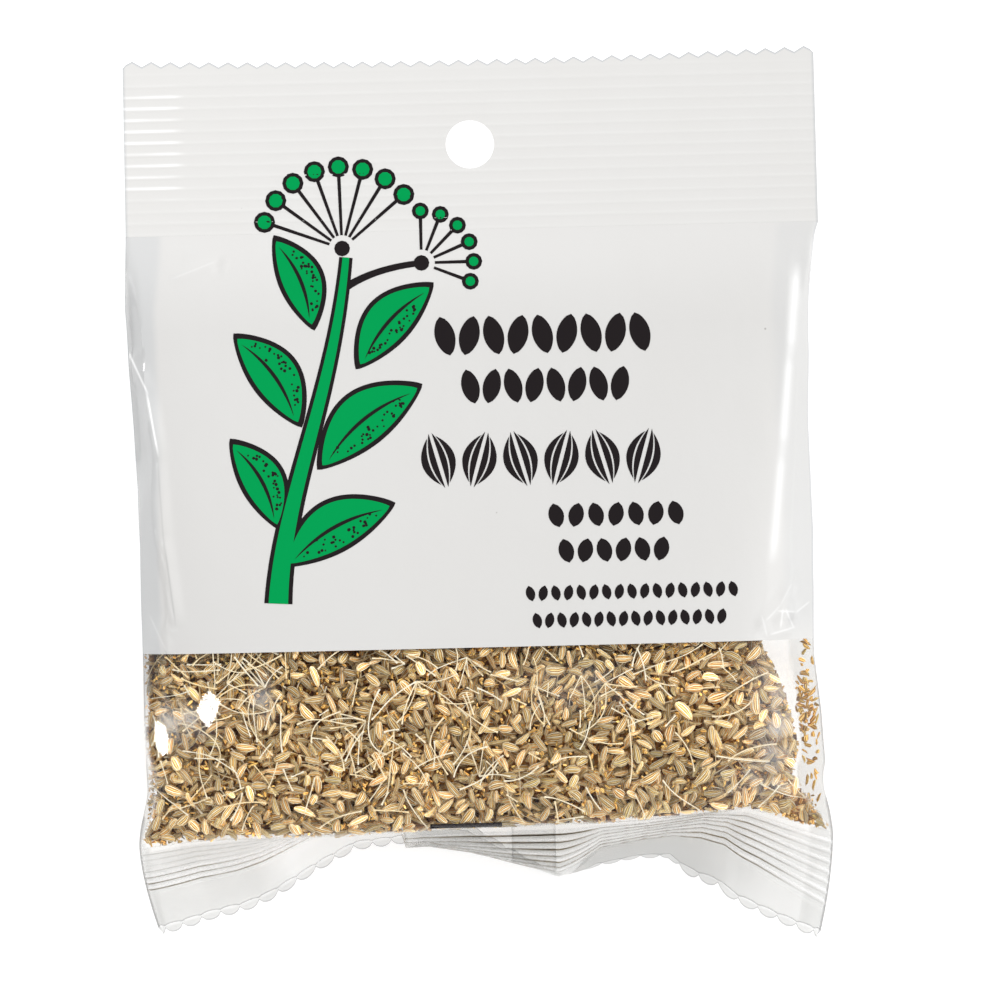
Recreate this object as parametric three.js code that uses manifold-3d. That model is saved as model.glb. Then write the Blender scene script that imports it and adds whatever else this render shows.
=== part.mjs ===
// A sealed film pillow pack of whole seed, lying on its back with the printed front up.
// One closed solid: the plump pouch, the flat punched header above it, and the curled seal below it.
// Millimetres, +Z up, +X across the front, +Y towards the header, origin at the bottom centre of the box.
import * as THREE from "three";
import { mergeVertices } from "three/addons/utils/BufferGeometryUtils.js";
import Module from "manifold-3d";

// Driving dimensions
const FLAT_WIDTH = 114; // the film tube pressed flat
const POUCH_LENGTH = 100.6; // from the bottom seal line to the top seal line
const HEADER_HEIGHT = 28.2; // the sealed and punched strip above the pouch, on its centre line
const EDGE_BOW = 1.0; // how much longer the strip is at its two sides
const SEAL_LENGTH = 16.2; // the crimped seal below the pouch, measured along its curl at mid width
const SEAL_SKEW = 1.3; // how much longer it is cut at one corner, and shorter at the other
const THICKNESS = 17.2; // the pouch where the seed lies deepest
const PRESSED = 0.4; // the pouch's thickness at its two seal lines
const STRIP_THICKNESS = 0.9; // and in the strips along its side folds, which hold little seed
const LEFT_STRIP = 1.4; // the widths of these strips where the pouch is full
const RIGHT_STRIP = 4;
const LEAST_STRIP = 0.4; // and at the seal lines
const SHEET = 0.3; // the welded films of the header and the bottom seal
const WELD_OVERLAP = 0.8; // how far these two run into the pouch
const HOLE_DIAMETER = 8;
const HOLE_BELOW_EDGE = 14.1;
const TOOTH_PITCH = FLAT_WIDTH / 36;
const TOOTH_DEPTH = 0.9;

// How the pack lies
const SEAL_LIFT = 10; // the bottom seal line at mid width
const CORNER_LIFT = 3.8; // the same line at its two corners
const HEADER_LIFT = 2.5; // the top seal line
const HEADER_TIP_LIFT = 0.35; // the header's toothed edge
const DRAW_IN = 2.3; // how far a full pouch pulls in each side
const SWAY = 1.1; // how far the filled pouch leans to one side
// Its two folded edges also wander on their own: each at a share of the pouch length, in mm.
const EDGE_SHIFTS = [
  { at: 0, left: 0, right: 0 },
  { at: 0.02, left: 0, right: 0 },
  { at: 0.068, left: -0.2, right: 0.4 },
  { at: 0.117, left: -0.3, right: 1.5 },
  { at: 0.198, left: -0.25, right: 1.3 },
  { at: 0.296, left: 0.1, right: 0.5 },
  { at: 0.394, left: 0.3, right: 0.75 },
  { at: 0.492, left: 0.6, right: 0.8 },
  { at: 0.59, left: 0.45, right: 0.5 },
  { at: 0.687, left: 0, right: 0 },
  { at: 0.785, left: -0.65, right: 0 },
  { at: 0.883, left: -0.95, right: -0.45 },
  { at: 0.981, left: -0.2, right: -0.3 },
  { at: 1, left: 0, right: 0 },
];
const REST_BITE = 0.4; // how far the sagging back is pressed flat on what it lies on

// Shares of the pouch length at which its profile changes
const FRONT_FULL_AT = 0.22;
const BACK_DOWN_AT = 0.16;
const BACK_LEAVES_AT = 0.8;
const EDGE_SETTLES_AT = 0.15;
const EDGE_RISES_AT = 0.7;
const CORNERS_DRAWN_AT = 0.1;
const STRIP_STARTS_AT = 0.07;
const STRIP_WANES_AT = 0.3;
const STRIP_GONE_AT = 0.78;
const EDGE_SHARE = 0.42; // the side fold's height as a share of the front's height

// Roundness of the pouch: exponents of the super-ellipses that its sections follow
const FRONT_ROUND = 3.4;
const BACK_ROUND = 3.2;
const FRONT_END_ROUND = 2.6;
const BACK_END_ROUND = 1.8;
const FRONT_FALL = [1.3, 1.4]; // how the front falls away to the header, inner and outer exponent

// The curl of the bottom seal: at each share of the half width, the angle below level
// in degrees at which the film leaves the pouch, the angle at its free edge, and how far
// the fullness of the pouch draws the seal line up from the straight line between its corners.
const CURL_STATIONS = [
  { at: -1.0, leaves: 25, ends: 0, drawn: 0 },
  { at: -0.84, leaves: 49, ends: 0, drawn: 1.2 },
  { at: -0.74, leaves: 61, ends: 0, drawn: 1.5 },
  { at: -0.66, leaves: 79, ends: 0, drawn: 1.5 },
  { at: -0.53, leaves: 116, ends: 0, drawn: 1.5 },
  { at: -0.4, leaves: 147, ends: 0, drawn: 1.6 },
  { at: -0.25, leaves: 150, ends: 5, drawn: 1.9 },
  { at: -0.235, leaves: 42, ends: 162, drawn: 1.9 },
  { at: -0.17, leaves: 42, ends: 160, drawn: 2.1 },
  { at: -0.05, leaves: 25, ends: 157, drawn: 2.4 },
  { at: 0.21, leaves: -5, ends: 108, drawn: 2.6 },
  { at: 0.33, leaves: 60, ends: 64, drawn: 2.8 },
  { at: 0.46, leaves: 70, ends: 62, drawn: 3.1 },
  { at: 0.55, leaves: 72, ends: 56, drawn: 3.6 },
  { at: 0.63, leaves: 82, ends: 8, drawn: 4.0 },
  { at: 0.7, leaves: 68, ends: 4, drawn: 4.3 },
  { at: 0.75, leaves: 38, ends: 4, drawn: 4.6 },
  { at: 1.0, leaves: 5, ends: 8, drawn: 0 },
];
const DRAWN_UNTIL = 0.2; // the share of the pouch length over which that draw dies out
const SEAL_PINCH = 0.06; // how much the free edge is narrower than the seal line
const PINCH_POWER = 1.7; // above 1, most of that narrowing is near the free edge

// Mesh density
const CROWN_COLUMNS = 36; // across the crowned part, between the side strips
const STRIP_COLUMNS = 2;
const POUCH_COLUMNS = CROWN_COLUMNS + 2 * STRIP_COLUMNS;
const POUCH_ROWS = 26;
const ROW_CROWDING = 0.75; // from 0, even rows, to 1, crowded at both ends
const TEETH = Math.round(FLAT_WIDTH / TOOTH_PITCH);
const SEAL_ROWS = 7;
const HOLE_SEGMENTS = 48;
const SAME_POINT = 1e-4; // points closer than this are one

const HALF_WIDTH = FLAT_WIDTH / 2;
const radians = THREE.MathUtils.degToRad;
const { lerp, clamp } = THREE.MathUtils;
const ease = (t) => THREE.MathUtils.smoothstep(t, 0, 1);

// A bulge that is 1 in the middle (q = 0) and falls to 0 at q = 1 or -1.
function bulge(q, roundness) {
  return Math.pow(Math.max(0, 1 - Math.pow(Math.abs(q), roundness)), 1 / roundness);
}

// Heights on the centre line, where u runs from 0 at the bottom seal line to 1 at the top one.
function frontHeight(u) {
  if (u < FRONT_FULL_AT) {
    return lerp(SEAL_LIFT, THICKNESS, bulge(1 - u / FRONT_FULL_AT, FRONT_END_ROUND));
  }
  const s = (u - FRONT_FULL_AT) / (1 - FRONT_FULL_AT);
  const [inner, outer] = FRONT_FALL;
  return lerp(HEADER_LIFT, THICKNESS, Math.pow(1 - Math.pow(s, inner), outer));
}

function backHeight(u) {
  if (u < BACK_DOWN_AT) return SEAL_LIFT * (1 - bulge(1 - u / BACK_DOWN_AT, BACK_END_ROUND));
  return HEADER_LIFT * ease((u - BACK_LEAVES_AT) / (1 - BACK_LEAVES_AT));
}

function edgeHeight(u) {
  const settled = lerp(CORNER_LIFT, EDGE_SHARE * frontHeight(u), ease(u / EDGE_SETTLES_AT));
  return lerp(settled, HEADER_LIFT, ease((u - EDGE_RISES_AT) / (1 - EDGE_RISES_AT)));
}

function halfWidth(u) {
  const fullness = (frontHeight(u) - backHeight(u)) / THICKNESS;
  return HALF_WIDTH - DRAW_IN * Math.sqrt(clamp(fullness, 0, 1)) * ease(u / CORNERS_DRAWN_AT);
}

// The flat strip along a side fold is widest beside the seed and wanes towards the header.
function stripWidth(widest, u) {
  const wane = ease((u - STRIP_WANES_AT) / (STRIP_GONE_AT - STRIP_WANES_AT));
  return lerp(LEAST_STRIP, widest, ease(u / STRIP_STARTS_AT) * (1 - wane));
}

// The crowned part between the two strips: its middle and its half width.
function crown(u) {
  const left = -halfWidth(u) + stripWidth(LEFT_STRIP, u);
  const right = halfWidth(u) - stripWidth(RIGHT_STRIP, u);
  return { left, right, middle: (left + right) / 2, half: (right - left) / 2 };
}

// How high a crowned section stands at x, from 0 at the strips to 1 in the middle.
function crownShare(x, u, roundness) {
  const { middle, half } = crown(u);
  return bulge((x - middle) / half, roundness);
}

// The seal line is where the front and the back meet, so both sides share one section there.
function backRoundness(u) {
  return lerp(FRONT_ROUND, BACK_ROUND, ease(u / BACK_DOWN_AT));
}

function pressedThickness(u) {
  return lerp(PRESSED, STRIP_THICKNESS, ease(u / CORNERS_DRAWN_AT) * ease((1 - u) / CORNERS_DRAWN_AT));
}

// How far a point at x is carried sideways by the wandering of the two edges.
function shiftAt(x, u) {
  const next = Math.max(1, EDGE_SHIFTS.findIndex((station) => station.at >= u));
  const [a, b] = [EDGE_SHIFTS[next - 1], EDGE_SHIFTS[next]];
  const t = (u - a.at) / (b.at - a.at);
  return lerp(lerp(a.left, b.left, t), lerp(a.right, b.right, t), (x / HALF_WIDTH + 1) / 2);
}

// A point of the pouch's front (side 1) or back (side -1), at x before the pouch sways.
function pouchPoint(x, u, side) {
  const edge = edgeHeight(u);
  let z;
  if (side > 0) {
    z = lerp(edge, frontHeight(u), crownShare(x, u, FRONT_ROUND)) + pressedThickness(u) / 2;
  } else {
    const bite = REST_BITE * ease(u / BACK_DOWN_AT) * ease((1 - u) / (1 - BACK_LEAVES_AT));
    z = lerp(edge, backHeight(u) - bite, crownShare(x, u, backRoundness(u))) - pressedThickness(u) / 2;
  }
  const drawn = curlAt(x / HALF_WIDTH).drawn * (1 - ease(u / DRAWN_UNTIL));
  const moved = x - SWAY * Math.sin(Math.PI * u) + shiftAt(x, u);
  return new THREE.Vector3(moved, u * POUCH_LENGTH + drawn, Math.max(0, z));
}

// The curl at one place across the bottom seal, between the two nearest stations.
function curlAt(across) {
  const next = Math.max(1, CURL_STATIONS.findIndex((station) => station.at >= across));
  const [a, b] = [CURL_STATIONS[next - 1], CURL_STATIONS[next]];
  const t = (across - a.at) / (b.at - a.at);
  const between = (key) => lerp(a[key], b[key], t);
  return { leaves: radians(between("leaves")), ends: radians(between("ends")), drawn: between("drawn") };
}

// A point of the bottom seal's middle surface, and its normal there, at a distance along its curl
// from the seal line.
function sealFrame(across, distance) {
  const { leaves, ends, drawn } = curlAt(across);
  const radius = SEAL_LENGTH / (ends - leaves);
  const angle = leaves + distance / radius;
  const share = Math.max(0, distance) / SEAL_LENGTH;
  const x = across * HALF_WIDTH * (1 - SEAL_PINCH * Math.pow(share, PINCH_POWER));
  const y = drawn - radius * (Math.sin(angle) - Math.sin(leaves));
  const start = lerp(edgeHeight(0), SEAL_LIFT, crownShare(across * HALF_WIDTH, 0, FRONT_ROUND));
  const z = Math.max(SHEET / 2, start - radius * (Math.cos(leaves) - Math.cos(angle)));
  const normal = new THREE.Vector3(0, -Math.sin(angle), Math.cos(angle));
  return { point: new THREE.Vector3(x, y, z), normal };
}

function sealPoint(column, row, side) {
  const across = column / TEETH - 1;
  const tooth = column % 2 ? TOOTH_DEPTH : 0;
  const length = SEAL_LENGTH + SEAL_SKEW * across - tooth;
  const { point, normal } = sealFrame(across, lerp(-WELD_OVERLAP, length, row / SEAL_ROWS));
  return point.addScaledVector(normal, (side * SHEET) / 2);
}

// A closed solid between an upper and a lower grid of points, with a wall round their rim.
function solidBetween(columns, rows, pointAt) {
  const positions = [];
  const index = [];
  const width = columns + 1;
  const perSide = width * (rows + 1);
  for (const side of [1, -1]) {
    for (let row = 0; row <= rows; row++) {
      for (let column = 0; column <= columns; column++) {
        positions.push(...pointAt(column, row, side).toArray());
      }
    }
  }
  const quad = (a, b, c, d) => index.push(a, b, c, a, c, d);
  for (let row = 0; row < rows; row++) {
    for (let column = 0; column < columns; column++) {
      const a = row * width + column;
      quad(a, a + 1, a + width + 1, a + width);
      quad(perSide + a, perSide + a + width, perSide + a + width + 1, perSide + a + 1);
    }
  }
  const wall = (a, b) => quad(a, perSide + a, perSide + b, b);
  for (let column = 0; column < columns; column++) {
    wall(column, column + 1);
    wall(rows * width + column + 1, rows * width + column);
  }
  for (let row = 0; row < rows; row++) {
    wall((row + 1) * width, row * width);
    wall(row * width + columns, (row + 1) * width + columns);
  }
  return new THREE.BufferGeometry()
    .setAttribute("position", new THREE.Float32BufferAttribute(positions, 3))
    .setIndex(index);
}

// Columns crowd towards the strips, where the crown is steepest, and the strips have a few of their own.
function columnX(column, u) {
  const { left, right } = crown(u);
  const onStrip = Math.min(column, POUCH_COLUMNS - column) / STRIP_COLUMNS;
  if (onStrip < 1) {
    return column < STRIP_COLUMNS ? lerp(-halfWidth(u), left, onStrip) : lerp(halfWidth(u), right, onStrip);
  }
  const turn = (Math.PI * (column - STRIP_COLUMNS)) / CROWN_COLUMNS;
  return lerp(left, right, (1 - Math.cos(turn)) / 2);
}

// Rows crowd towards both seal lines, where the pouch curves most.
function makePouch() {
  return solidBetween(POUCH_COLUMNS, POUCH_ROWS, (column, row, side) => {
    const even = row / POUCH_ROWS;
    const u = lerp(even, (1 - Math.cos(Math.PI * even)) / 2, ROW_CROWDING);
    return pouchPoint(columnX(column, u), u, side);
  });
}

function makeBottomSeal() {
  return solidBetween(2 * TEETH, SEAL_ROWS, (column, row, side) => sealPoint(column, SEAL_ROWS - row, side));
}

// The header's outline, with its toothed edge and its hole, pressed out to one sheet and laid at its slope.
function makeHeader() {
  const outline = new THREE.Shape();
  outline.moveTo(-HALF_WIDTH, -WELD_OVERLAP);
  outline.lineTo(HALF_WIDTH, -WELD_OVERLAP);
  for (let step = 0; step <= 2 * TEETH; step++) {
    const tooth = step % 2 ? 0 : TOOTH_DEPTH;
    const x = HALF_WIDTH - (step * TOOTH_PITCH) / 2;
    outline.lineTo(x, HEADER_HEIGHT + EDGE_BOW * (x / HALF_WIDTH) ** 2 - tooth);
  }
  const hole = new THREE.Path();
  hole.absarc(0, HEADER_HEIGHT - HOLE_BELOW_EDGE, HOLE_DIAMETER / 2, 0, 2 * Math.PI, true);
  outline.holes.push(hole);
  const sheet = new THREE.ExtrudeGeometry(outline, {
    depth: SHEET,
    bevelEnabled: false,
    curveSegments: HOLE_SEGMENTS,
  });
  const slope = Math.asin((HEADER_TIP_LIFT - HEADER_LIFT) / HEADER_HEIGHT);
  return sheet
    .translate(0, 0, -SHEET / 2)
    .rotateX(slope)
    .translate(0, POUCH_LENGTH, HEADER_LIFT);
}

const wasm = await Module();
wasm.setup();

function toManifold(geometry) {
  const bare = geometry.clone().deleteAttribute("normal").deleteAttribute("uv");
  const merged = mergeVertices(bare, SAME_POINT);
  return new wasm.Manifold(
    new wasm.Mesh({
      numProp: 3,
      vertProperties: merged.getAttribute("position").array,
      triVerts: new Uint32Array(merged.index.array),
    }),
  );
}

function toGeometry(manifold) {
  const { vertProperties, triVerts } = manifold.getMesh();
  return new THREE.BufferGeometry()
    .setAttribute("position", new THREE.BufferAttribute(vertProperties, 3))
    .setIndex(new THREE.BufferAttribute(triVerts, 1));
}

// Joins the three stretches of film and puts the origin at the bottom centre of their box.
function makeBag() {
  const pieces = [makePouch(), makeHeader(), makeBottomSeal()].map(toManifold);
  const joined = toGeometry(pieces.reduce((bag, piece) => bag.add(piece)));
  joined.computeBoundingBox();
  const { min, max } = joined.boundingBox;
  joined.translate(-(min.x + max.x) / 2, -(min.y + max.y) / 2, -min.z);
  joined.computeVertexNormals();
  return joined;
}

const film = new THREE.MeshStandardMaterial({ color: 0xe6e5e3, roughness: 0.3, metalness: 0 });
const bag = new THREE.Mesh(makeBag(), film);
bag.name = "seed_bag";

const pack = new THREE.Group();
pack.add(bag);

export default pack;
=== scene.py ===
# %% [markdown]
# # A sealed film bag of whole anise seed
#
# A small bag of spice is one tube of thin plastic film. It is welded flat at both ends, and the seed
# inside makes it plump. Above a straight line the film is printed white, and below it the film stays
# clear, so the seed shows. The scene builds the film first, then the seed that presses against it
# from inside, and then the ink on it.
#
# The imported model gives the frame: the box of the bag, and the body that every piece rides on.

# %% Load the frame
import math
import time

import bpy
import numpy as np
from mathutils import Matrix, Vector
from mathutils.bvhtree import BVHTree
from mathutils.geometry import delaunay_2d_cdt


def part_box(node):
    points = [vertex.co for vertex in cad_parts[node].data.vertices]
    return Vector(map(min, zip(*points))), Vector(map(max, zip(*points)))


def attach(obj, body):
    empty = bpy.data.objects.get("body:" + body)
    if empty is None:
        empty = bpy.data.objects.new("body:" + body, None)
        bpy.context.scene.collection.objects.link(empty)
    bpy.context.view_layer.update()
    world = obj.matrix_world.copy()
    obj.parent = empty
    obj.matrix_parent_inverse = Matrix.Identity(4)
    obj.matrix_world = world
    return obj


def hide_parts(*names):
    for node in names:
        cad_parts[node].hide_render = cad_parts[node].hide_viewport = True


started = time.time()
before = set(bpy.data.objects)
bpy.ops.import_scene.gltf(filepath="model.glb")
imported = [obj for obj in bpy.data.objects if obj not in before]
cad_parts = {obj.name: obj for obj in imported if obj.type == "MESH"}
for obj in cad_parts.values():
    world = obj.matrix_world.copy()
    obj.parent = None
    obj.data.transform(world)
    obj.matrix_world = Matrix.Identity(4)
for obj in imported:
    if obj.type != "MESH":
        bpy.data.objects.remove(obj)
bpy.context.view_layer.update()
MM = 0.001
bag_low, bag_high = (np.array(corner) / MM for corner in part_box("seed_bag"))
print("bag box in mm:", bag_low.round(2), bag_high.round(2))

# %% [markdown]
# ## The sizes of the film
#
# The header has the full width of the film tube, and its left edge is the left side of the box. It is
# a flat sheet that slopes a little, so its run along Y follows from its height and its two lifts. Its
# highest teeth are the first ones from its sides. They fix both seal lines from the top edge of the
# box. Everything here is in millimetres, and becomes metres when a mesh is made.

# %% Sizes that follow from the box
HALF_WIDTH = 57
middle_x = bag_low[0] + HALF_WIDTH
HEADER_HEIGHT = 28.2
EDGE_BOW = 1.0  # how much longer the header is at its sides
TEETH = 36
HEADER_LIFT = 2.5
HEADER_TIP_LIFT = 0.35
POUCH_LENGTH = 100.6
PRINT_LINE = 0.319  # share of the pouch length
FILM = 0.07  # one sheet
WELD = 0.2  # two sheets welded together
slope = math.asin((HEADER_TIP_LIFT - HEADER_LIFT) / HEADER_HEIGHT)
header_run = (HEADER_HEIGHT + EDGE_BOW * (1 - 1 / TEETH) ** 2) * math.cos(slope)
top_seal_y = bag_high[1] - header_run
bottom_seal_y = top_seal_y - POUCH_LENGTH
print_line_y = bottom_seal_y + PRINT_LINE * POUCH_LENGTH
print(f"seal lines at y {bottom_seal_y:.2f} and {top_seal_y:.2f}, print from y {print_line_y:.2f}")

# %% [markdown]
# ## The shape of the pouch
#
# A filled pouch follows a rule, so its shape is a few formulas and not a pile of points. At each
# share u of its length it has a front height, a back height and a height of its side folds. Between
# the folds the section is a super-ellipse: rounder than a box, squarer than an ellipse, as film is
# when loose seed leans against it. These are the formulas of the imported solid, with the film's own
# thickness at the seals.

# %% Formulas of the pouch
THICKNESS = 17.2
STRIP_THICKNESS = 0.9
LEFT_STRIP = 1.4
RIGHT_STRIP = 4
LEAST_STRIP = 0.4
SEAL_LIFT = 10
CORNER_LIFT = 3.8
DRAW_IN = 2.3
SWAY = 1.1
REST_BITE = 0.4
FRONT_ROUND = 3.4
BACK_ROUND = 3.2
CREST = 0.22  # share of the length where the front is highest
BACK_DOWN = 0.16  # share of the length where the back has come down to rest


def ease(t):
    t = np.clip(t, 0, 1)
    return t * t * (3 - 2 * t)


def rise(value, start, length):
    """0 up to the start and 1 from a length further on."""
    return ease((value - start) / length)


def fall(value, end, length):
    """1 until a length before the end, and 0 from the end on."""
    return ease((end - value) / length)


def lerp(a, b, t):
    return a + (b - a) * t


def bulge(q, roundness):
    return np.maximum(0, 1 - np.abs(q) ** roundness) ** (1 / roundness)


def front_height(u):
    if u < CREST:
        return lerp(SEAL_LIFT, THICKNESS, bulge(1 - u / CREST, 2.6))
    fallen = min(1, (u - CREST) / (1 - CREST))
    return lerp(HEADER_LIFT, THICKNESS, (1 - fallen**1.3) ** 1.4)


def back_height(u):
    if u < BACK_DOWN:
        return SEAL_LIFT * (1 - bulge(1 - u / BACK_DOWN, 1.8))
    return HEADER_LIFT * rise(u, 0.8, 0.2)


def edge_height(u):
    settled = lerp(CORNER_LIFT, 0.42 * front_height(u), rise(u, 0, 0.15))
    return lerp(settled, HEADER_LIFT, rise(u, 0.7, 0.3))


def half_width(u):
    fullness = np.clip((front_height(u) - back_height(u)) / THICKNESS, 0, 1)
    return HALF_WIDTH - DRAW_IN * math.sqrt(fullness) * rise(u, 0, 0.1)


def crown_share(x, u, roundness):
    """How high a section stands at x, from 0 at the flat strips by the folds to 1 in the middle."""
    wane = rise(u, 0.3, 0.48)
    strips = [lerp(LEAST_STRIP, w, rise(u, 0, 0.07) * (1 - wane)) for w in (LEFT_STRIP, RIGHT_STRIP)]
    left, right = -half_width(u) + strips[0], half_width(u) - strips[1]
    return bulge((x - (left + right) / 2) / ((right - left) / 2), roundness)


# %% [markdown]
# ## The curl of the bottom seal
#
# Below the pouch the two sheets are welded into a fin. The weight of the seed bends it under: little
# at its corners, most in the middle. Stations across the width hold the angle at which the film
# leaves the pouch, the angle at its cut edge, and how far the plump pouch draws the seal line up.
# Between the stations the values ease. The pouch needs the draw too, so this comes before it.

# %% Stations of the curl
CURL_STATIONS = np.array([  # share of the half width, leaving angle, angle at the cut edge, draw
    (-1.0, 25, 0, 0),
    (-0.84, 49, 0, 1.2),
    (-0.74, 61, 0, 1.5),
    (-0.66, 79, 0, 1.5),
    (-0.53, 116, 0, 1.5),
    (-0.4, 147, 0, 1.6),
    (-0.25, 150, 5, 1.9),
    (-0.235, 42, 162, 1.9),
    (-0.17, 42, 160, 2.1),
    (-0.05, 25, 157, 2.4),
    (0.21, -5, 108, 2.6),
    (0.33, 60, 64, 2.8),
    (0.46, 70, 62, 3.1),
    (0.55, 72, 56, 3.6),
    (0.63, 82, 8, 4.0),
    (0.7, 68, 4, 4.3),
    (0.75, 38, 4, 4.6),
    (1.0, 5, 8, 0),
])


def curl_at(across):
    """Leaving angle, angle at the cut edge and draw at each share of the half width."""
    places = CURL_STATIONS[:, 0]
    leaves, ends, drawn = (np.interp(across, places, CURL_STATIONS[:, k]) for k in (1, 2, 3))
    return np.radians(leaves), np.radians(ends), drawn


# %% [markdown]
# ## Rings of film
#
# Film that is pulled tight over a full corner breaks into flat facets with creases between them. The
# right side has two: one from the plump front down to a second crease, and a steep one from there to
# the fold. The left side has one. The places of the creases change along the bag. Film doesn't
# stretch, so the columns of the mesh are spaced along the film and not along X, with a column on each
# crease, so that it stays sharp. Towards the seals the columns turn even, as the teeth need. The two
# folded edges aren't quite straight either: both wander, by up to a millimetre and a half.

# %% Creases along the bag
CREASES = [  # x at shares of the pouch length, from left to right
    [(0, -52.5), (0.16, -51.5), (0.32, -51), (0.38, -51.5), (0.49, -53.3), (0.65, -52.9),
     (0.75, -54), (1, -56)],
    [(0, 51), (0.107, 51.2), (0.138, 50), (0.328, 44.6), (0.365, 46.2), (0.4, 47), (0.45, 47),
     (0.51, 48.7), (0.62, 49.5), (0.67, 50), (0.76, 51.2), (0.92, 52), (1, 53)],
    [(0, 53.2), (0.14, 51.6), (0.22, 50.8), (0.33, 51.3), (0.4, 50.8), (0.5, 51.1), (0.63, 52.1),
     (0.75, 52.8), (0.88, 53.4), (1, 54.4)],
]
LEFT_SLOPE = 1.2
RIGHT_SLOPE = 0.55
TOOTH_COLUMNS = 6
COLUMNS = TOOTH_COLUMNS * TEETH
RING = 2 * COLUMNS
SPANS = [4, 7, COLUMNS - 30, 9, 10]  # columns between the folds, the left corner and the creases
LEAST_SPAN = 0.6  # least distance in mm between the right creases and the fold
CORNER_PLACE = 0.3  # share of the way from the left fold to the left crease
fine_turn = (1 - np.cos(np.linspace(0, np.pi, 900))) / 2

# %% Wandering of the folded edges
EDGE_PLACES = [0, 0.02, 0.068, 0.117, 0.198, 0.296, 0.394, 0.492, 0.59, 0.687, 0.785, 0.883, 0.981, 1]
LEFT_SHIFTS = [0, 0, -0.2, -0.3, -0.25, 0.1, 0.3, 0.6, 0.45, 0, -0.65, -0.95, -0.2, 0]
RIGHT_SHIFTS = [0, 0, 0.4, 1.5, 1.3, 0.5, 0.75, 0.8, 0.5, 0, 0, -0.45, -0.3, 0]


def sway_at(u):
    return SWAY * math.sin(math.pi * u)


def shift_at(x, u):
    """How far a point at x is carried sideways by the wandering of the two folded edges."""
    left, right = (np.interp(u, EDGE_PLACES, shifts) for shifts in (LEFT_SHIFTS, RIGHT_SHIFTS))
    return lerp(left, right, (x / HALF_WIDTH + 1) / 2)


def crease_x(which, u):
    places, xs = zip(*CREASES[which])
    return float(np.interp(u, places, xs))


def front_section(x, u, wide, edge, gap):
    """Height of the front sheet at x, and the x of the folds and creases."""

    def plump(x):
        return lerp(edge, front_height(u), crown_share(x, u, FRONT_ROUND)) + gap

    left, right, outer = (crease_x(which, u) for which in range(3))
    left, right, outer = (at + sway_at(u) - shift_at(at, u) for at in (left, right, outer))
    outer = min(outer, wide - LEAST_SPAN)
    right = min(right, outer - LEAST_SPAN)
    left = max(left, -wide + 2 * LEAST_SPAN)
    corner = lerp(-wide, left, CORNER_PLACE)
    tops = plump(np.array([left, right]))
    knots = [-wide, corner, left, right, outer, wide]
    low = tops[0] - LEFT_SLOPE * (left - corner)
    heights = [edge, low, *tops, tops[1] - RIGHT_SLOPE * (outer - right), edge]
    faceted = np.where((x < left) | (x > right), np.interp(x, knots, heights), plump(x))
    strength = rise(u, 0.02, 0.1) * fall(u, 0.97, 0.12)
    return lerp(plump(x), faceted, strength), np.array(knots)


def section(u):
    """One ring: x and z of the front sheet from left to right and of the back sheet, and its shares."""
    wide, edge = half_width(u), edge_height(u)
    x = lerp(-wide, wide, fine_turn)
    gap = lerp(WELD - FILM, STRIP_THICKNESS, rise(u, 0, 0.1) * fall(u, 1, 0.1)) / 2
    bite = REST_BITE * rise(u, 0, BACK_DOWN) * fall(u, 1, 0.2)
    rounder = lerp(FRONT_ROUND, BACK_ROUND, rise(u, 0, BACK_DOWN))
    front, knots = front_section(x, u, wide, edge, gap)
    x = np.union1d(x, knots)
    front, _ = front_section(x, u, wide, edge, gap)
    back = lerp(edge, back_height(u) - bite, crown_share(x, u, rounder)) - gap
    sheets = []
    for height in (front, back):
        line = np.stack([x, height], 1)
        line[[0, -1], 1] = edge
        along = np.concatenate([[0], np.cumsum(np.linalg.norm(np.diff(line, axis=0), axis=1))])
        sheets.append((line, along))
    line, along = sheets[0]
    stops = np.interp(knots, x, along) / along[-1]
    crowded = [np.linspace(a, b, n, endpoint=False) for a, b, n in zip(stops, stops[1:], SPANS)]
    crowded = np.append(np.concatenate(crowded), 1)
    shares = lerp(np.linspace(0, 1, COLUMNS + 1), crowded, rise(u, 0, 0.07) * fall(u, 1, 0.15))
    top, bottom = (
        np.stack([np.interp(shares * along[-1], along, line[:, axis]) for axis in range(2)], 1)
        for line, along in sheets
    )
    ring = np.concatenate([top[:-1], bottom[:0:-1]])
    ring[:, 1] = np.maximum(ring[:, 1], FILM / 2)
    return ring, np.concatenate([shares[:-1], shares[:0:-1]])


def pouch_row(u):
    ring, shares = section(u)
    drawn = curl_at(ring[:, 0] / HALF_WIDTH)[2] * (1 - rise(u, 0, 0.2))
    x = ring[:, 0] - sway_at(u) + shift_at(ring[:, 0], u) + middle_x
    return np.stack([x, bottom_seal_y + u * POUCH_LENGTH + drawn, ring[:, 1]], 1), shares


print("section at the print line:", np.ptp(pouch_row(PRINT_LINE)[0], axis=0).round(2), "mm")

# %% [markdown]
# ## The fin
#
# The fin is the same ring of film swept along the curl. It is cut with lobed teeth, and the front
# sheet ends a little inside the back one, in a nearly straight line.

# %% A row of the fin
SEAL_LENGTH = 16.2
SEAL_SKEW = 1.3
SEAL_PINCH = {"left": 0.06, "right": 0.04}
PINCH_POWER = 1.7
TOOTH_DEPTH = 0.9
TOOTH_POWER = 1.7
FRONT_SHEET_SHORT = 1.25
FRONT_TOOTH_DEPTH = 0.25

seal_ring, seal_shares = section(0)
seal_across = seal_ring[:, 0] / HALF_WIDTH
seal_side = np.where(np.arange(RING) < COLUMNS, 1.0, -1.0)
seal_side[[0, COLUMNS]] = 0
seal_start = lerp(edge_height(0), SEAL_LIFT, crown_share(seal_ring[:, 0], 0, FRONT_ROUND))
leaves, ends, seal_drawn = curl_at(seal_across)
seal_radius = SEAL_LENGTH / (ends - leaves)

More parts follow.
